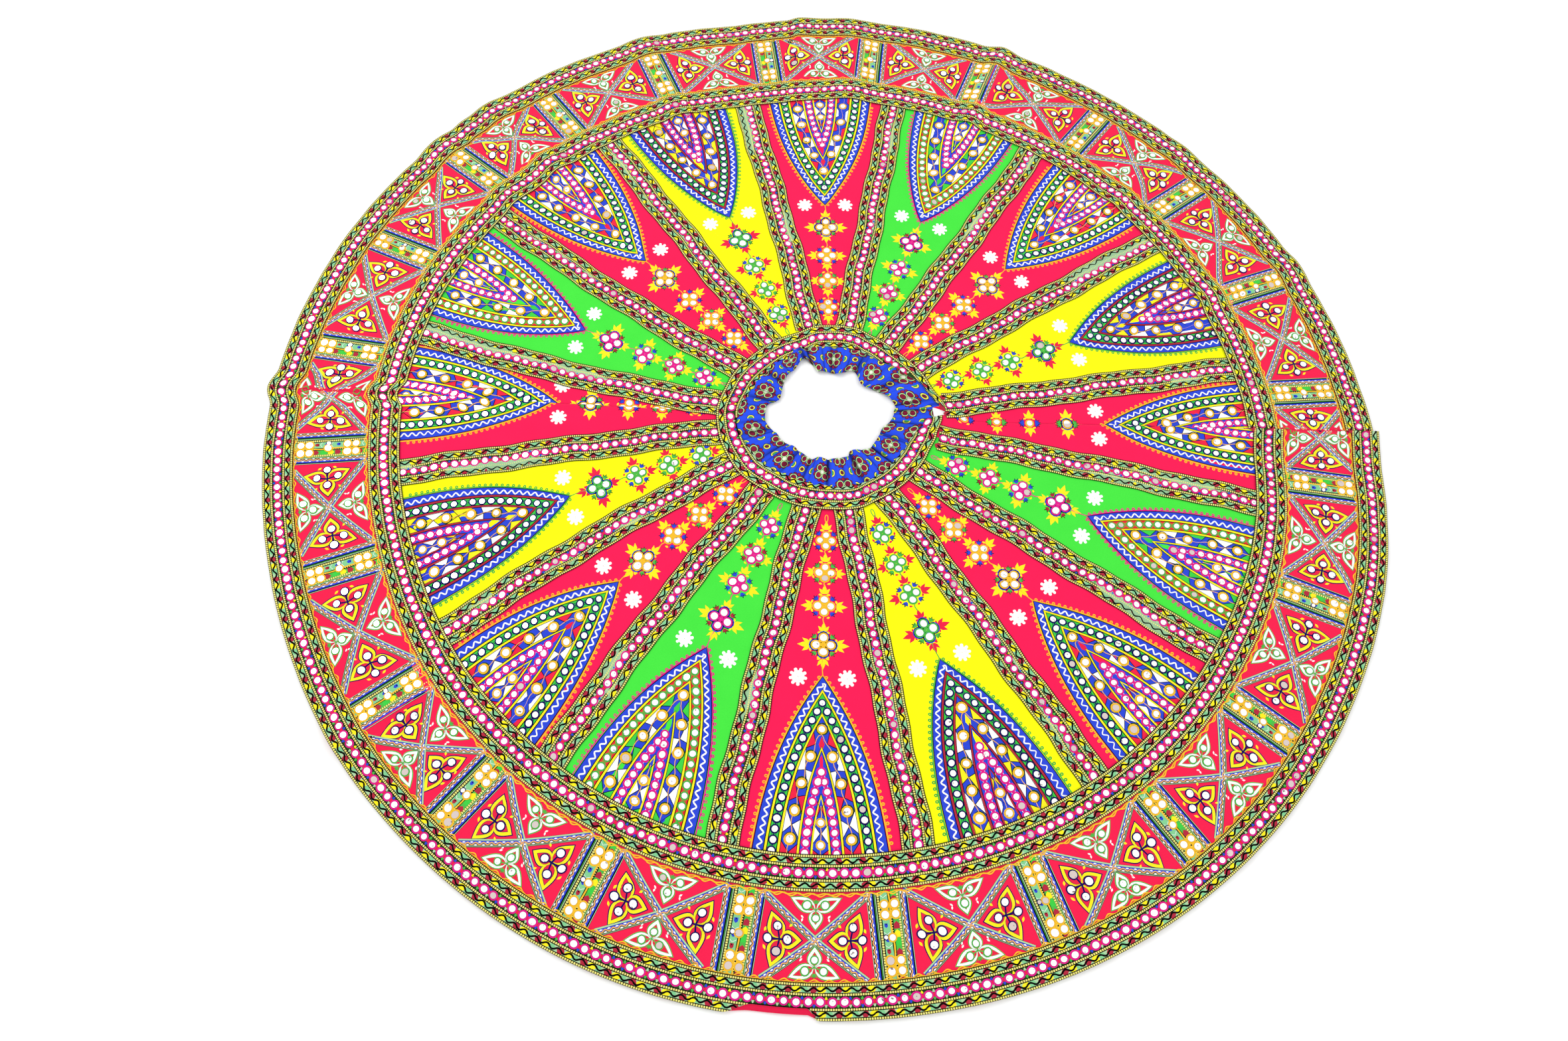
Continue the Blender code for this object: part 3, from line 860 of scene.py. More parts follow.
# %% Arch colours, one set for each colour of gore
ARCHES = {
    "pink": dict(scallop="gold", line="yellow", band="green", ring="navy", diamond="red"),
    "green": dict(scallop="pink", line="yellow", band="scarlet", ring="leaf", diamond="green"),
    "yellow": dict(scallop="leaf", line="maroon", band="green", ring="navy", diamond="yellow"),
}
BANDS = (
    (115.5, 534.0), (96.0, 558.0), (92.5, 563.0), (74.0, 600.0), (70.0, 605.0), (40.0, 660.0), (37.0, 665.0),
    (17.0, 741.0),
)
PIPINGS = (
    (96.2, 557.6), (92.3, 563.2), (74.0, 599.6), (70.0, 605.4), (40.4, 659.6), (36.8, 665.4), (17.3, 740.6),
    (13.9, 746.4),
)
EDGES = (
    (115.8, 533.5), (97.0, 557.0), (91.6, 564.0), (74.8, 599.0), (69.3, 606.0), (41.0, 659.0), (36.2, 666.0),
    (18.0, 739.5),
)
CURL = ring(1.1, 3.4, 7)
RHOMBUS = patches([(0.0, 641.0), (5.2, 655.0), (0.0, 669.0), (-5.2, 655.0)])


def wedge(work, base, tip, sign, colour):
    """A triangle of satin stitch from a base to a tip, edged in black."""
    tips = np.repeat(np.asarray(tip, float)[None], len(base), 0)
    work.strip(*((base, tips) if sign > 0 else (tips, base)), colour, lift=0.3, tall=0.2)
    for end in (base[0], base[-1]):
        work.line([end, tip], 1.3, "black", lift=0.4, tall=0.4)


def diamond_row(work, outer, inner, marks, colours):
    """Triangles between the diamonds on both edges of a band; marks are the mirrors' shares."""
    middle = between_arches(outer, inner)
    for k, (a, b) in enumerate(zip(marks, marks[1:])):
        for sign in (-1.0, 1.0):
            if k:
                tip = arch_at(*middle, sign * 0.5 * (a + b))
                spread = sign * (a + (b - a) * np.linspace(0.12, 0.88, 5))
                wedge(work, arch_at(*outer, spread), tip, -sign, colours[k % 2])
                wedge(work, arch_at(*inner, spread), tip, sign, colours[k % 2])
            else:
                tip = arch_at(*middle, sign * 0.5 * b)
                wedge(work, arch_at(*outer, sign * b * np.linspace(0.55, 1.15, 4)), tip, -sign, colours[0])
    work.stamp(RHOMBUS, colours[0], (0.0, 0.0), lift=0.3, tall=0.3)


def arch_work(work, style):
    """Draws one arch."""
    for outer, inner, colour in zip(BANDS[::2], BANDS[1::2], ("blue", style["band"], "blue", "blue")):
        work.strip(arch(*outer), arch(*inner), colour, tall=0.25)
    for outer, inner in zip(PIPINGS[::2], PIPINGS[1::2]):
        work.strip(arch(*outer), arch(*inner), style["line"], tall=0.55)
    for edge in EDGES:
        work.line(arch(*edge), 1.4, "black", lift=0.3, tall=0.5)
    work.line(arch(118.6, 530.6), 2.6, style["scallop"], tall=0.8)
    at, turn, _ = walk(arch(123.0, 526.0)[2:-2], 11.0, 2)
    away = np.arange(len(at)) != len(at) // 2
    work.stamp(CURL, style["scallop"], at[away], turn[away], 0.95, tall=0.8, stretch=1.1)
    work.line(wavy(arch(105.0, 546.5), 15.5, 3.5, steps=8), 3.0, "white", lift=0.3, tall=0.7)
    for outer, inner, tone, link, pitch, thread, knot in (
        (*BANDS[2:4], style["ring"], style["ring"], 17.8, 2.7, 0.45),
        (*BANDS[6:], "pink", "white", 18.2, 3.4, 0.5),
    ):
        path = arch(*between_arches(outer, inner))[1:-1]
        at, turn, _ = walk(path, pitch, 2)
        for start in (0.0, 0.5):
            work.line(wavy(path, 2 * pitch, 3.4, steps=8, start=start), 1.1, link, lift=0.3, tall=0.5)
        joins, way, _ = walk(path, pitch / 2, 4)
        work.stamp(TWIST, tone, joins[1::2], way[1::2], knot, lift=0.3, tall=0.8)
        work.mirrors(at, tone, radius=5.5, thread=thread, lift=0.3)
    heart(work, style)


def heart(work, style):
    """The band of diamonds with gold mirrors, and the narrow heart of the arch."""
    outer, inner = BANDS[4:6]
    middle = between_arches(outer, inner)
    marks = np.array([0.0] + [foot_share(middle[1], r) for r in (676.0, 722.0, 768.0, 815.0, 858.0)])
    diamond_row(work, outer, inner, marks, (style["diamond"], "white"))
    thread = wavy(arch_at(*middle, np.linspace(-1.0, 1.0, 40)), 46.0, 2.4, steps=8)
    work.line(thread, 1.5, "peach", lift=0.55, tall=0.5)
    shares = marks[1:5]
    at = arch_at(*middle, np.r_[-shares[::-1], 0.0, shares])
    at[len(shares), 1] -= 4.0
    work.stamp(ring(8.6, 11.4), "moss", at - (1.0, 0.8), lift=0.3, tall=0.5)
    work.mirrors(at, "gold", radius=6.4, thread=3.7, lift=0.45, tall=1.4)
    core = arch(14.0, 746.0)
    half = len(core) // 2
    work.strip(core[half::-1], core[half:], "blue", tall=0.3)
    tone = style["diamond"]
    for low, high, wide, colour in (
        (790.0, 822.0, 12.6, "white"), (752.0, 778.0, 6.5, tone), (832.0, 852.0, 14.0, tone),
    ):
        for sign in (-1.0, 1.0):
            base = np.array([(sign * wide, low), (sign * wide, high)])
            wedge(work, base, (sign * 1.0, 0.5 * (low + high)), sign, colour)
    thread = [(0.0, 760.0), (-1.5, 775.0), (1.0, 790.0), (-1.0, 805.0), (0.5, 822.0), (0.0, 846.0)]
    work.line(thread, 1.5, "peach", 0.55, 0.5)
    work.mirrors([(0.0, 788.0), (0.0, 825.0)], "gold", radius=6.0, thread=3.2, lift=0.45, tall=1.4)


# %% [markdown]
# ## The vine
# Four mirror flowers climb the axis of each gore, every one a cross of four mirrors, with tulips between
# them and at their sides. Two white star flowers stand either side of the arch's point.

# %% Shapes of the vine
SIDE_PETAL = [(0.0, 0.0), (5.0, 0.4), (9.8, 4.8), (12.4, 14.5), (7.0, 11.4), (2.6, 8.6)]
MIDDLE_PETAL = [(0.0, 1.0), (4.6, 6.0), (4.6, 13.0), (0.0, 23.5), (-4.6, 13.0), (-4.6, 6.0)]
TULIP = patches(SIDE_PETAL, MIDDLE_PETAL, mirrored(SIDE_PETAL))
HALF_BUD = [(2.6, 1.6), (4.6, 6.6), (1.6, 4.6)]
BUD = patches([(0.0, 0.0), *HALF_BUD, (0.0, 8.4), *mirrored(HALF_BUD)])
DART = patches([(0.0, -4.2), (1.9, -1.0), (1.9, 1.0), (0.0, 4.2), (-1.9, 1.0), (-1.9, -1.0)])
STAR_PETAL = patches(
    [(-1.6, 9.0), (1.6, 9.0), (3.0, 12.0), (2.4, 14.6), (0.0, 15.6), (-2.4, 14.6), (-3.0, 12.0)]
)
VINES = {
    "pink": dict(ring="gold", tulip="yellow", buds=("blue", "leaf")),
    "green": dict(ring="pink", tulip="yellow", buds=("blue", "maroon")),
    "yellow": dict(ring="leaf", tulip="red", buds=("blue", "leaf")),
}
FLOWERS = (
    (267.0, 11.0, 5.9, 0.0), (333.0, 11.2, 6.0, 0.76), (399.0, 12.0, 6.4, 0.88), (474.0, 13.4, 7.0, 1.0),
)
ARCH_POINT, TULIP_TIP = 531.0, 26.0


def flower(work, style, number, radius, reach, mirror, side_tulip):
    """Four mirrors in a cross, with buds on the diagonals, darts round them and tulips at the sides."""
    quarter = np.arange(4) * math.pi / 2
    cross, heart_ = towards(quarter), np.array((0.0, radius))
    if number == 3:
        work.stamp(ring(9.4, 12.6), "black", heart_ + cross * reach, tall=0.6)
        work.stamp(ring(8.6, 11.0), "blue", heart_ + cross * reach * 1.15, lift=0.1, tall=0.8)
    diagonals = quarter + math.pi / 4
    for colour, size, lift in (("black", 1.5, 0.0), (style["buds"][number % 2], 1.2, 0.3)):
        at = heart_ + towards(diagonals) * (reach + 5.6 - size)
        work.stamp(BUD, colour, at, diagonals - math.pi / 2, size, lift=lift, tall=0.7)
    eighth = np.r_[diagonals - 0.42, diagonals + 0.42]
    work.stamp(DART, style["tulip"], heart_ + towards(eighth) * (reach + 12.0), eighth, 1.0, tall=0.6)
    work.stamp(ring(0.6, 6.5, 8), style["ring"], heart_, lift=0.15, tall=0.8)
    work.mirrors(heart_ + cross * reach, style["ring"], radius=mirror, thread=3.2, lift=0.15, tall=1.3)
    if side_tulip:
        for sign in (-1.0, 1.0):
            foot = heart_ + (sign * (reach + 10.5), 0.0)
            work.stamp(TULIP, style["tulip"], foot, -sign * math.pi / 2, side_tulip, lift=0.1, tall=0.7)


def vine_work(work, style):
    """Draws the vine of one gore: flowers, with a tulip hanging from each and one standing on the last."""
    tone, thread = style["tulip"], style["ring"]
    tops = [radius - reach - TULIP_TIP for radius, reach, _, _ in FLOWERS[1:]] + [ARCH_POINT]
    for number, (radius, reach, mirror, side_tulip) in enumerate(FLOWERS):
        flower(work, style, number, radius, reach, mirror, side_tulip)
        foot, low, high = radius - reach - 11.0, radius + reach + 8.0, tops[number]
        work.line([(0.0, low), (1.8, 0.6 * low + 0.4 * high), (0.0, high)], 1.8, thread, lift=0.05, tall=0.6)
        work.stamp(TULIP, tone, (0.0, foot), math.pi, 0.82, lift=0.1, tall=0.7)
        work.stamp(DART, tone, [(-7.5, foot + 1.0), (7.5, foot + 1.0)], (1.9, -1.9), 1.1, tall=0.6)
    work.stamp(TULIP, tone, (0.0, 501.0), 0.0, 0.85, lift=0.1, tall=0.7)
    work.stamp(DART, tone, [(-8.0, 500.0), (8.0, 500.0)], (-1.9, 1.9), 1.1, tall=0.6)
    turn = np.linspace(0.0, 2.0 * math.pi, 13)
    loop = np.stack([3.8 * np.sin(turn) * np.sin(turn / 2), 223.0 + 10.0 * np.cos(turn)], -1)
    work.line(loop, 1.6, thread, tall=0.6)
    for sign in (-1.0, 1.0):
        star, turns = np.array((sign * 44.0, 535.0)), np.arange(9) * 2.0 * math.pi / 9
        work.stamp(STAR_PETAL, "white", np.repeat(star[None], 9, 0), turns, 1.1, tall=0.8)
        work.stamp(ring(0.5, 12.0), "white", star, lift=0.1, tall=1.0)


# %% [markdown]
# ## Laying arch and vine on the gores
# On a whole gore the drawing lies on its axis. On a half gore the middle of it has been taken into the side
# seam, so the drawing is cut off with bisect_plane before it is laid beside the seam.

# %% Embroidery on each gore
TAKEN_IN = {"gore_01_back": 12.0, "gore_01_front": 12.0, "gore_09_back": 12.0, "gore_09_front": 3.0}


def cut_away(work, side, taken):
    """Cuts a drawing along x = side times taken, keeps the far side, and moves it up to x = 0."""
    kept = Work()
    for points, uv, corners, sizes, colour in work.parts:
        out = side * points[:, 0] - taken
        if out.max() <= 0.0:
            continue
        if out.min() < 0.0:
            bm = bmesh.new()
            layer = bm.verts.layers.float_vector.new("uv")
            verts = [bm.verts.new(p) for p in points]
            for vert, place in zip(verts, uv):
                vert[layer] = (*place, 0.0)
            for face in np.split(corners, np.cumsum(sizes)[:-1]):
                bm.faces.new([verts[i] for i in face])
            bmesh.ops.bisect_plane(
                bm, geom=bm.verts[:] + bm.edges[:] + bm.faces[:], plane_co=(side * taken, 0, 0),
                plane_no=(side, 0, 0), clear_inner=True,
            )
            bm.verts.index_update()
            if not bm.faces:
                bm.free()
                continue
            points = np.array([v.co[:] for v in bm.verts])
            uv = np.array([v[layer][:2] for v in bm.verts])
            corners = np.array([v.index for f in bm.faces for v in f.verts])
            sizes = np.array([len(f.verts) for f in bm.faces])
            bm.free()
        kept.parts.append((points - (side * taken, 0.0, 0.0), uv, corners, sizes, colour))
    return kept


for name, number, first, last in gore_cuts():
    colour = GORE_COLOURS[number % len(GORE_COLOURS)]
    work = Work()
    arch_work(work, ARCHES[colour])
    vine_work(work, VINES[colour])
    axis = lambda radius, number=number: gore_axis(number, radius)
    if name in TAKEN_IN:
        work = cut_away(work, -1.0 if name.endswith("back") else 1.0, TAKEN_IN[name])
        axis = last if name in ("gore_01_front", "gore_09_back") else first

    def on_gore(x, y, z, axis=axis):
        radius = np.hypot(x, y)
        return lay(axis(radius) - np.degrees(np.arctan2(x, y)), radius, z + CLOTH)

    sew(f"{name}_embroidery", work, on_gore)

# %% [markdown]
# ## The border
# The border is a ring of twenty-four columns with a cross block between each two. A column carries gold
# mirror flowers between ladders of beads and ropes. A cross block is crossed corner to corner by two ropes,
# and in its four corners sit trefoils: yellow ones at the sides, white ones above and below. Blocks that lie
# over a fold of the cloth get finer strips, so that their layers follow it.

# %% Border cloth
BORDER_IN = YOKE_SEAM + GAP


def hem_edge(azimuth):
    """Radius of the border's own lower edge, which shows past the hem trim where that is turned under."""
    return HEM_OUT - HEM_TUCK - TURNED_BORDER * turned_under(azimuth)


for half, start, end in HALVES:
    def border_place(u, v, start=start, end=end):
        azimuth = start + (end - start) * u
        return lay(azimuth, BORDER_IN + (hem_edge(azimuth) - BORDER_IN) * v, 0.0)

    cloth(f"border_{half}_cloth", RING_COLUMNS, 9, border_place, CLOTH, BORDER_CLOTH)
    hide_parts(f"border_{half}")

# %% Ropes, trefoils and columns
BLOCKS = 24
COLUMN_HALF = 33.0
BLOCK_IN, BLOCK_OUT = 903.0, 1038.0
COLUMN_LEANS = np.array((
    -2.2, -1.5, -0.5, 0.0, 1.5, 1.5, 0.8, 0.8, 0.8, -0.5, -0.5, 0.0, -1.7, -1.5, -0.5, -2.0, -1.9, -1.7,
    -2.0, -1.5, -1.0, -0.5, 0.5, 0.3,
))
CROSS_AT, FOLD_REACH = 976.0, 9.0
ROPE_LINES = ((5.2, 2.5, "pale"), (1.5, 4.2, "blue"), (-4.0, 0.7, "pale"), (-5.8, 0.7, "pale"))
ARROW = patches([(-4.6, 5.6), (-4.6, -2.4), (0.0, -6.4), (4.6, -2.4), (4.6, 5.6)])
GRAIN = patches([(-3.4, 0.0), (0.0, -1.4), (3.4, 0.0), (0.0, 1.4)])


def winding(work, path):
    """A peach thread that winds from side to side of a path, with a white grain in every bend."""
    path = np.asarray(path, float)
    ahead = path[-1] - path[0]
    work.line(wavy(path, 14.0, 1.8, steps=6), 2.1, "peach", lift=0.45, tall=0.9)
    grains = wavy(path, 14.0, 2.2, steps=4, start=0.5)[1::2]
    work.stamp(GRAIN, "white", grains, math.atan2(ahead[1], ahead[0]), lift=0.4, tall=0.5)


def rope(work, path, side=1.0):
    """A rope band on black: a pale line, a blue line, a winding thread and two hair lines."""
    path = walk(path, 5.0)[0]
    work.line(path, 13.6, "black", tall=0.2, section=TAPE)
    for aside, wide, colour in ROPE_LINES:
        work.line(beside(path, aside * side), wide, colour, lift=0.15, tall=0.2, section=TAPE)
    winding(work, beside(path, -0.6 * side))


def petal(work, foot, tip, wide, colour, lift, inset, section):
    """A pointed petal of one colour, from its foot to its tip, drawn in from its outline by inset."""
    foot, tip = np.array(foot, float), np.array(tip, float)
    length = np.hypot(*(tip - foot))
    ahead = (tip - foot) / length
    aside = np.array((ahead[1], -ahead[0]))
    up = np.linspace(0.0, 1.0, 9)
    at = foot + np.outer(0.3 * inset + up * (length - 1.9 * inset), ahead)
    bulge = (wide - inset) * np.sin(math.pi * up ** 0.72)
    work.strip(at + np.outer(bulge, aside), at - np.outer(bulge, aside), colour, lift, 0.2, section)


def trefoil(work, heart_, tips, wide, band, rim, thick, section):
    """Three petals from one heart: a rim, a broad band, a thin line and the red cloth inside."""
    layers = ((rim, 0.0), (band, 1.5), (rim, 1.5 + thick), ("red", 2.2 + thick))
    for layer, (colour, inset) in enumerate(layers):
        for tip in tips:
            petal(work, heart_, tip, wide, colour, 0.25 * layer, inset, section)


def joined(work, places, heart_, colour, wide, ring_colour, radius):
    """Mirrors of one trefoil, with a thread from each to its heart."""
    for place in places:
        work.line([heart_, place], wide, colour, lift=1.0, tall=0.4)
    work.mirrors(places, ring_colour, radius=radius, thread=2.2, lift=0.9)


def cross_block(work, inner, outer, section):
    """The block between two columns; its half width is inner at the yoke and outer at the hem."""
    fit = 0.5 * (inner + outer) / 94.0
    middle = (0.0, CROSS_AT)
    for side in (-1.0, 1.0):
        rope(work, [(side * 91.0 * fit, BLOCK_IN), middle], side)
        rope(work, [middle, (side * 88.0 * fit, BLOCK_OUT + 1.0)], -side)
    for side in (-1.0, 1.0):
        def spread(*places, side=side):
            return [(side * x * fit, y) for x, y in places]

        heart_ = np.array((side * 59.0 * fit, CROSS_AT))
        tips = spread((74.0, 1022.0), (75.0, 932.0), (20.0, CROSS_AT))
        trefoil(work, heart_, tips, 16.0, "yellow", "navy", 5.0, section)
        places = spread((64.0, 995.0), (63.0, 956.0), (46.0, CROSS_AT), (79.0, CROSS_AT))
        joined(work, places, heart_, "navy", 2.8, "navy", 6.5)
        sprigs = spread((41.0, 998.0), (40.0, 953.0), (84.0, 990.0), (83.0, 962.0))
        work.stamp(DART, "yellow", sprigs, side * np.array((0.8, -0.8, 0.5, -0.5)), 1.1, tall=0.6)
    for foot, middle, tip, wings, near, far in (
        (1.0, 1016.0, 983.0, 1033.0, 1005.0, 1022.0), (-1.0, 928.0, 961.0, 909.0, 941.0, 921.0),
    ):
        heart_ = (0.0, middle)
        tips = ((0.0, tip), (-43.0, wings), (43.0, wings))
        trefoil(work, heart_, tips, 12.5, "white", "leaf", 4.4, section)
        joined(work, ((0.0, near), (-15.0, far), (15.0, far)), heart_, "leaf", 1.8, "leaf", 5.7)
        turn = 0.0 if foot > 0 else math.pi
        work.stamp(BUD, "leaf", (0.0, middle + foot * 9.0), turn, 1.0, lift=0.8, tall=0.6)
        buds = [(s * 22.0, middle - foot * dy) for s in (-1.0, 1.0) for dy in (11.0, 16.0)]
        work.stamp(DART, "white", buds, [0.8 * foot, 0.3, -0.8 * foot, -0.3], 0.8, tall=0.6)


COLUMN_LINES = (
    (-33.6, 1.0, "pale"), (-28.4, 5.0, "blue"), (-21.2, 1.3, "pale"), (-19.4, 0.8, "leaf"),
    (-10.6, 9.4, "leaf"), (5.6, 12.4, "mint"), (19.4, 1.3, "pale"), (21.4, 0.8, "leaf"),
    (26.6, 4.8, "blue"), (33.9, 0.9, "pale"),
)
LEFT_ARROWS = (
    (1036.0, "maroon"), (998.0, "maroon"), (982.5, "green"), (969.5, "yellow"), (956.5, "maroon"),
    (915.0, "maroon"), (905.0, "green"),
)
RIGHT_ARROWS = (
    (1034.0, "leaf"), (999.0, "maroon"), (981.0, "blue"), (959.0, "blue"), (946.0, "maroon"), (906.0, "leaf"),
)
VINE_X = -2.4


def column(work):
    """One column: ropes and bead ladders at the sides, gold mirror flowers on green between them."""
    y = np.linspace(BLOCK_IN, BLOCK_OUT + 1.0, 21)
    work.strip(spots(34.6, y), spots(-34.6, y), "black", tall=0.1, section=WIDE_TAPE)
    for x, wide, colour in COLUMN_LINES:
        work.strip(spots(x + wide / 2, y), spots(x - wide / 2, y), colour, lift=0.15, tall=0.2)
    for x in (-25.6, 29.6):
        winding(work, np.stack([0 * y + x, y], -1))
    rungs = BLOCK_IN + every(BLOCK_OUT - BLOCK_IN, BEAD_PITCH)
    for x in (-17.2, 15.2):
        work.stamp(BEAD, "straw", spots(x, rungs), math.pi / 2, 1.05, lift=0.3)
    work.stamp(BEAD, "straw", spots(-3.4, rungs), math.pi / 2, 0.65, lift=0.3)
    for radius, colour in LEFT_ARROWS:
        work.stamp(ARROW, colour, (-10.6, radius), 0.0, 1.0, lift=0.35, tall=0.35)
    for radius, colour in RIGHT_ARROWS:
        work.stamp(ARROW, colour, (6.6, radius - 3.0), math.pi, 0.72, lift=0.35, tall=0.35)
        work.stamp(CHIP, "black", (6.6, radius - 5.0), math.pi, 0.7, lift=0.4, tall=0.5)
    for radius in (990.0, 970.0, 948.0, 1030.0, 912.0):
        chevron = [(0.2, radius - 4.0), (6.6, radius), (11.6, radius - 4.0)]
        work.line(chevron, 0.9, "white", lift=0.4, tall=0.3)
    stem = wavy([(VINE_X, BLOCK_IN), (VINE_X, BLOCK_OUT)], 66.0, 1.2, steps=8)
    work.line(stem, 2.6, "gold", lift=0.5, tall=0.8)
    for heart_ in (931.0, 1018.0):
        at = [(x, heart_ + dy) for x in (-11.0, 6.2) for dy in (-8.0, 8.0)]
        work.stamp(ring(3.0, 9.6, 8), "gold", (VINE_X, heart_), 0.0, 1.0, lift=0.5, tall=0.6)
        work.mirrors(at, "gold", radius=6.3, thread=3.0, lift=0.6, tall=1.2)
    work.mirrors((-1.6, 975.0), "gold", radius=5.6, thread=2.6, lift=0.7, tall=1.2)
    work.mirrors((9.0, 974.0), "navy", radius=3.6, thread=1.5, lift=0.5, tall=1.0)


# %% Laying the border's work
def border_parts():
    """Every column and block round the border, in order, with one more at either end."""
    steps = np.arange(-1, BLOCKS + 1)
    middles = 360.0 / BLOCKS * (steps + 0.5) + COLUMN_LEANS[steps % BLOCKS]
    for here, following in zip(middles, middles[1:]):
        yield "column", here, None
        yield "block", 0.5 * (here + following), 0.5 * math.radians(following - here)


def border_work():
    """All the work of the border, drawn already in azimuth, radius and height."""
    laid = Work()
    for kind, middle, half in border_parts():
        work = Work()
        if kind == "column":
            column(work)
        else:
            folded = any(abs(middle - fold[0]) < FOLD_REACH for fold in FOLDS)
            section = WIDE_TAPE if folded else TAPE
            cross_block(work, half * BLOCK_IN - COLUMN_HALF, half * BLOCK_OUT - COLUMN_HALF, section)
        for points, uv, corners, sizes, colour in work.parts:
            x, y, z = points.T
            points = np.stack([middle - np.degrees(x / y), y, z], -1)
            laid.parts.append((points, uv, corners, sizes, colour))
    return laid


def within(work, start, end):
    """Leaves out the faces that pass the seams at the ends of a half."""
    kept = Work()
    for points, uv, corners, sizes, colour in work.parts:
        inside = (points[:, 0] >= start) & (points[:, 0] <= end)
        starts = np.cumsum(np.r_[0, sizes[:-1]])
        whole = np.logical_and.reduceat(inside[corners], starts)
        if whole.any():
            keep = np.repeat(whole, sizes)
            used, again = np.unique(corners[keep], return_inverse=True)
            kept.parts.append((points[used], uv[used], again, sizes[whole], colour))
    return kept


for half, start, end in HALVES:
    work = within(border_work(), start, end)
    around = np.linspace(start, end, round((end - start) * 2.2) * 5 + 1)
    for radius, aside in ((903.5, 1.2), (905.0, -2.4), (1038.6, 0.9), (1037.0, -2.6)):
        swing = radius + aside * np.sin(np.radians(around) * radius / 24.0 * 2.0 * math.pi)
        right, left = (np.stack([around, swing + d], -1) for d in (1.1, -1.1))
        work.strip(right, left, "gold", lift=0.5, tall=0.8, section=ROUND)

    def by_azimuth(azimuth, radius, z):
        return lay(azimuth / MM, radius, z + CLOTH)

    sew(f"border_{half}_stitching", work, by_azimuth)

# %% [markdown]
# ## The waistband
# The waistband is a strip of printed blue cotton, gathered on a drawstring, so it stands in little folds
# round the hole. The print is a block print: clusters of four leaves in a ring of petals, with ringed dots
# between. It is all sums on the UV map: each cell of the repeat measures how far a point is from its own
# middle, and the nearest shape wins.

# %% The block print
CELL_ACROSS, CELL_ALONG = 58.0, 46.0
LOBES, BAND_MIDDLE = 13, 150.0


def print_finish():
    """The printed cotton of the waistband, with painted shade that darkens the print down in its gathers and
    along a few folds.
    """
    material, tree, shader, uv = blank("blue block print")
    do, at = partial(sums, tree), add(tree, "ShaderNodeSeparateXYZ", uv)
    row = do("FLOOR", do("DIVIDE", at.outputs[0], CELL_ALONG))
    shift = do("MULTIPLY_ADD", row, 0.5, do("DIVIDE", at.outputs[1], CELL_ACROSS))
    x = do("MULTIPLY", do("SUBTRACT", do("FRACT", shift), 0.5), CELL_ACROSS)
    cell = do("FRACT", do("DIVIDE", at.outputs[0], CELL_ALONG))
    y = do("MULTIPLY", do("SUBTRACT", cell, 0.5), CELL_ALONG)
    ax, ay = do("ABSOLUTE", x), do("ABSOLUTE", y)

    def length(dx, dy):
        return do("SQRT", do("ADD", do("MULTIPLY", dx, dx), do("MULTIPLY", dy, dy)))

    def far(px, py):
        """How far a point of the cell is from a place, and from its three reflections."""
        return length(do("SUBTRACT", ax, px), do("SUBTRACT", ay, py))

    def under(distance, edge):
        return do("LESS_THAN", distance, edge)

    middle = far(0.0, 0.0)
    turn = do("MULTIPLY", do("ARCTAN2", y, x), LOBES / (2.0 * math.pi))
    aside = do("SUBTRACT", do("FRACT", do("ADD", turn, LOBES)), 0.5)
    around = do("MULTIPLY", aside, 2.0 * math.pi * 16.4 / LOBES)
    lobe = length(around, do("SUBTRACT", middle, 16.4))
    ink = layered(tree, dye("2b50e8"), under(lobe, 3.9), "15120c")
    ink = layered(tree, ink, under(lobe, 3.1), "9c2444")
    ink = layered(tree, ink, under(middle, 11.0), "1c1a10")
    leaves = far(7.3, 7.3)
    for edge, colour in ((8.1, "14180c"), (7.1, "b4dc98"), (5.3, "14180c"), (4.7, "8c1c3a")):
        ink = layered(tree, ink, under(leaves, edge), colour)
    ink = layered(tree, ink, under(do("ADD", ax, ay), 4.4), "eef4dc")
    for px, py, core in ((CELL_ACROSS / 2, 0.0, "7a2038"), (CELL_ACROSS / 2 - 1, CELL_ALONG / 2, "3fae50")):
        dot = far(px, py)
        for edge, colour in ((7.0, "14183c"), (6.0, "ece860"), (3.7, "14180c"), (3.0, core)):
            ink = layered(tree, ink, under(dot, edge), colour)
    # Painted shade: deep navy laid over the print, as far as the per-point shade attribute says.
    painted_gather_shade = add(tree, "ShaderNodeAttribute", attribute_name="painted_gather_shade").outputs["Fac"]
    ink = layered(tree, ink, painted_gather_shade, "080c20")
    tree.links.new(ink, shader.inputs["Base Color"])
    bumped(tree, shader, add(tree, "ShaderNodeGroup", uv, node_tree=woven).outputs["Height"])
    set_all(shader, Roughness=0.82, Specular_IOR_Level=0.08)
    return material


# %% The gathered band
GATHERS = ((17, 0.0052, 0.3), (29, 0.0028, 1.1), (61, 0.0010, 2.0))
# Painted shade on the band: each entry is an azimuth, a half width in degrees, and the share across the band
# past which the print is darkened as if in a fold's shadow.
SHADED = ((111.0, 3.0, 0.0), (7.3, 1.7, 0.0), (10.6, 1.6, 0.7), (357.0, 1.0, 0.7))


def band_edges(azimuth):
    """Inner edge of the band, and its seam under the waist trim."""
    seam = waist_seam(azimuth) - GAP
    return outline(HOLE, azimuth), np.where(at_slit(azimuth)[1], np.minimum(seam, SLIT_FLOOR), seam)


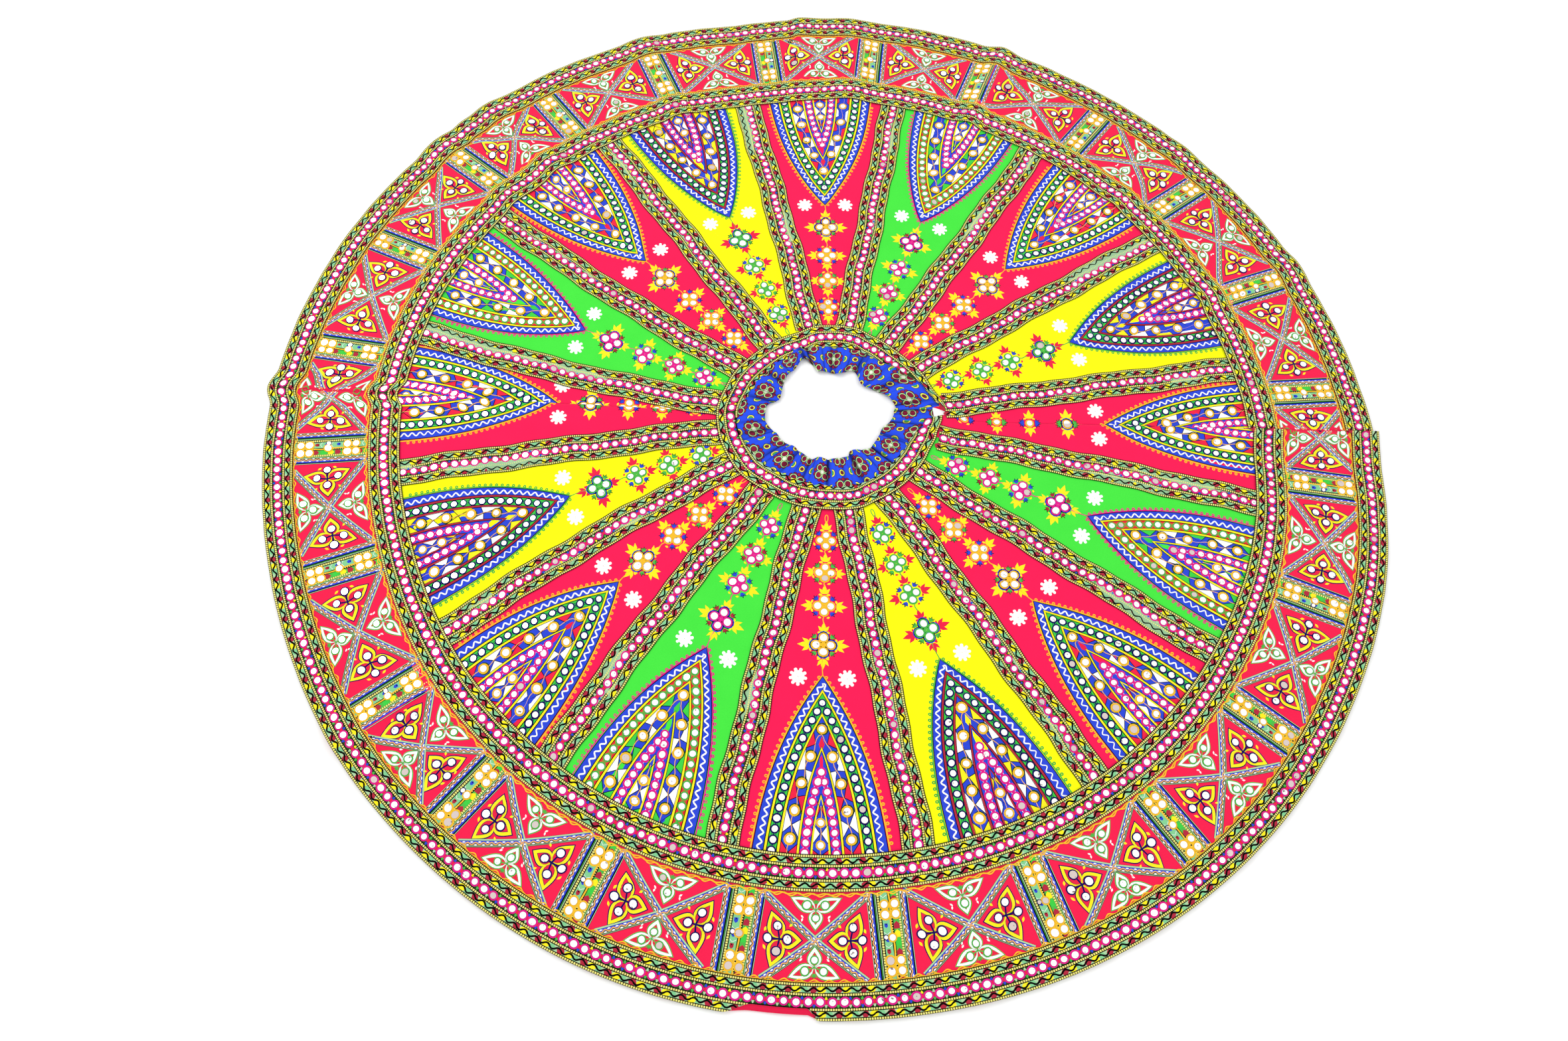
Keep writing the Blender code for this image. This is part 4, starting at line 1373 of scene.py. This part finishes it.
def gathered(azimuth, v):
    """How high the gathers stand, and how much painted shade darkens a point's print, deepest in the troughs
    between gathers and along a few shaded folds.
    """
    turn = np.radians(azimuth)
    waves = [(h, np.abs(np.sin(0.5 * n * turn + p + 0.9 * np.sin(3 * turn + p)))) for n, h, p in GATHERS]
    fade = smooth((1.0 - v) / 0.7)
    painted_shade = sum(w * (1.0 - s) ** 5 for (h, s), w in zip(waves, (1.0, 0.6, 0.25))) * (0.2 + 0.8 * fade)
    painted_shade += sum(hump(azimuth, middle, half) * (v > low) * (1.0 - 0.6 * v) for middle, half, low in SHADED)
    return sum(h * s for h, s in waves) * fade, np.clip(painted_shade, 0.0, 1.0) * 0.9


def band_place(u, v):
    first, last = BAND_ENDS
    azimuth = first + (last - first) * u
    inner, seam = band_edges(azimuth)
    return lay(azimuth, inner + (seam - inner) * v, gathered(azimuth, v)[0])


waistband = cloth("waistband_cloth", 720, 10, band_place, CLOTH, print_finish())
# Painted shade: every point of the band stores how far its print is darkened, in the troughs of the gathers
# and in a few folds.
where = np.zeros(len(waistband.data.vertices) * 3)
waistband.data.vertices.foreach_get("co", where)
x, y, _ = where.reshape(-1, 3).T
azimuth = np.degrees(np.arctan2(y, x)) % 360.0
inner, seam = band_edges(azimuth)
painted_gather_shade = gathered(azimuth, (np.hypot(x, y) - inner) / (seam - inner))[1]
shade = waistband.data.attributes.new("painted_gather_shade", "FLOAT", "POINT")
shade.data.foreach_set("value", painted_gather_shade.astype(np.float32))
layer = waistband.data.uv_layers["UVMap"].data
flat = np.zeros(len(layer) * 2, np.float32)
layer.foreach_get("uv", flat)
flat = flat.reshape(-1, 2)
around = 2.0 * math.pi * BAND_MIDDLE
flat = np.stack([flat[:, 0] / max(flat[:, 0].max(), 1e-6) * around, flat[:, 1]], -1)
layer.foreach_set("uv", flat.astype(np.float32).ravel())
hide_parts("waistband")
print("waistband faces:", len(waistband.data.polygons))

# %% [markdown]
# ## Sizes of the cut cloth
# The size each piece of cloth was cut to is worked out: the gores with a seam allowance all round, the trims
# and the two border halves.

# %% Cut sizes
FLOOR = "floor"
SEAM_ALLOWANCE = 0.010
for name, number, first, last in gore_cuts():
    colour = GORE_COLOURS[number % len(GORE_COLOURS)]
    wide = math.radians(abs(float(last(0.86) - first(0.86)))) * YOKE_SEAM + 2 * SEAM_ALLOWANCE
    narrow = math.radians(abs(float(last(0.22) - first(0.22)))) * 0.19 + 2 * SEAM_ALLOWANCE
    length = YOKE_SEAM - WAIST_R + 2 * SEAM_ALLOWANCE
for name, ribbon, work, length in trims:
    wide = TRIM_WIDTH if not name.startswith("waist") else 0.050
for half, start, end in HALVES:
    length = math.radians(end - start) * 0.5 * (YOKE_SEAM + HEM_OUT)

# %% [markdown]
# ## Floor, light and camera
# The skirt lies on a plain white floor under very even light, seen from nearly overhead. A large soft light
# above and a white surround keep the shadows faint, so the colours stay full.

# %% Floor
bm = bmesh.new()
bmesh.ops.create_grid(bm, x_segments=2, y_segments=2, size=6.0)
mesh = bpy.data.meshes.new(FLOOR)
bm.to_mesh(mesh)
bm.free()
floor = placed(FLOOR, mesh)
paper = bpy.data.materials.new("white floor")
paper.use_nodes = True
plain = paper.node_tree.nodes["Principled BSDF"]
set_all(plain, Base_Color=(0.93, 0.93, 0.93, 1.0), Roughness=0.9, Specular_IOR_Level=0.1)
mesh.materials.append(paper)

# %% Light
world = bpy.data.worlds.new("studio")
world.use_nodes = True
set_all(world.node_tree.nodes["Background"], Color=(1.0, 1.0, 1.0, 1.0), Strength=1.0)
bpy.context.scene.world = world


def soft_light(name, place, power, size):
    """A square soft light that faces the middle of the skirt."""
    light = bpy.data.lights.new(name, "AREA")
    light.energy, light.size = power, size
    lamp = placed(name, light)
    lamp.location = place
    lamp.rotation_euler = (-lamp.location).to_track_quat("-Z", "Y").to_euler()


soft_light("key", (-2.2, 1.6, 3.4), 40.0, 2.0)
soft_light("fill", (2.4, -1.8, 3.6), 15.0, 2.6)

# %% Camera
view = bpy.data.cameras.new("camera")
view.lens, view.sensor_width = 26.125, 36.0
view.clip_start, view.clip_end = 0.05, 50.0
camera = placed("camera", view)
camera.location = (-0.158, -1.140, 1.958)
camera.rotation_euler = tuple(math.radians(a) for a in (24.99, -2.28, 0.585))
bpy.context.scene.camera = camera
bpy.context.scene.view_settings.view_transform = "Standard"

# %% Sizes of what is shown
bpy.context.view_layer.update()
shown = [o for o in bpy.context.scene.objects if o.type == "MESH" and not o.hide_render and o != floor]
print("pieces:", len(shown), "triangles:", sum(faces_of(o) for o in shown))
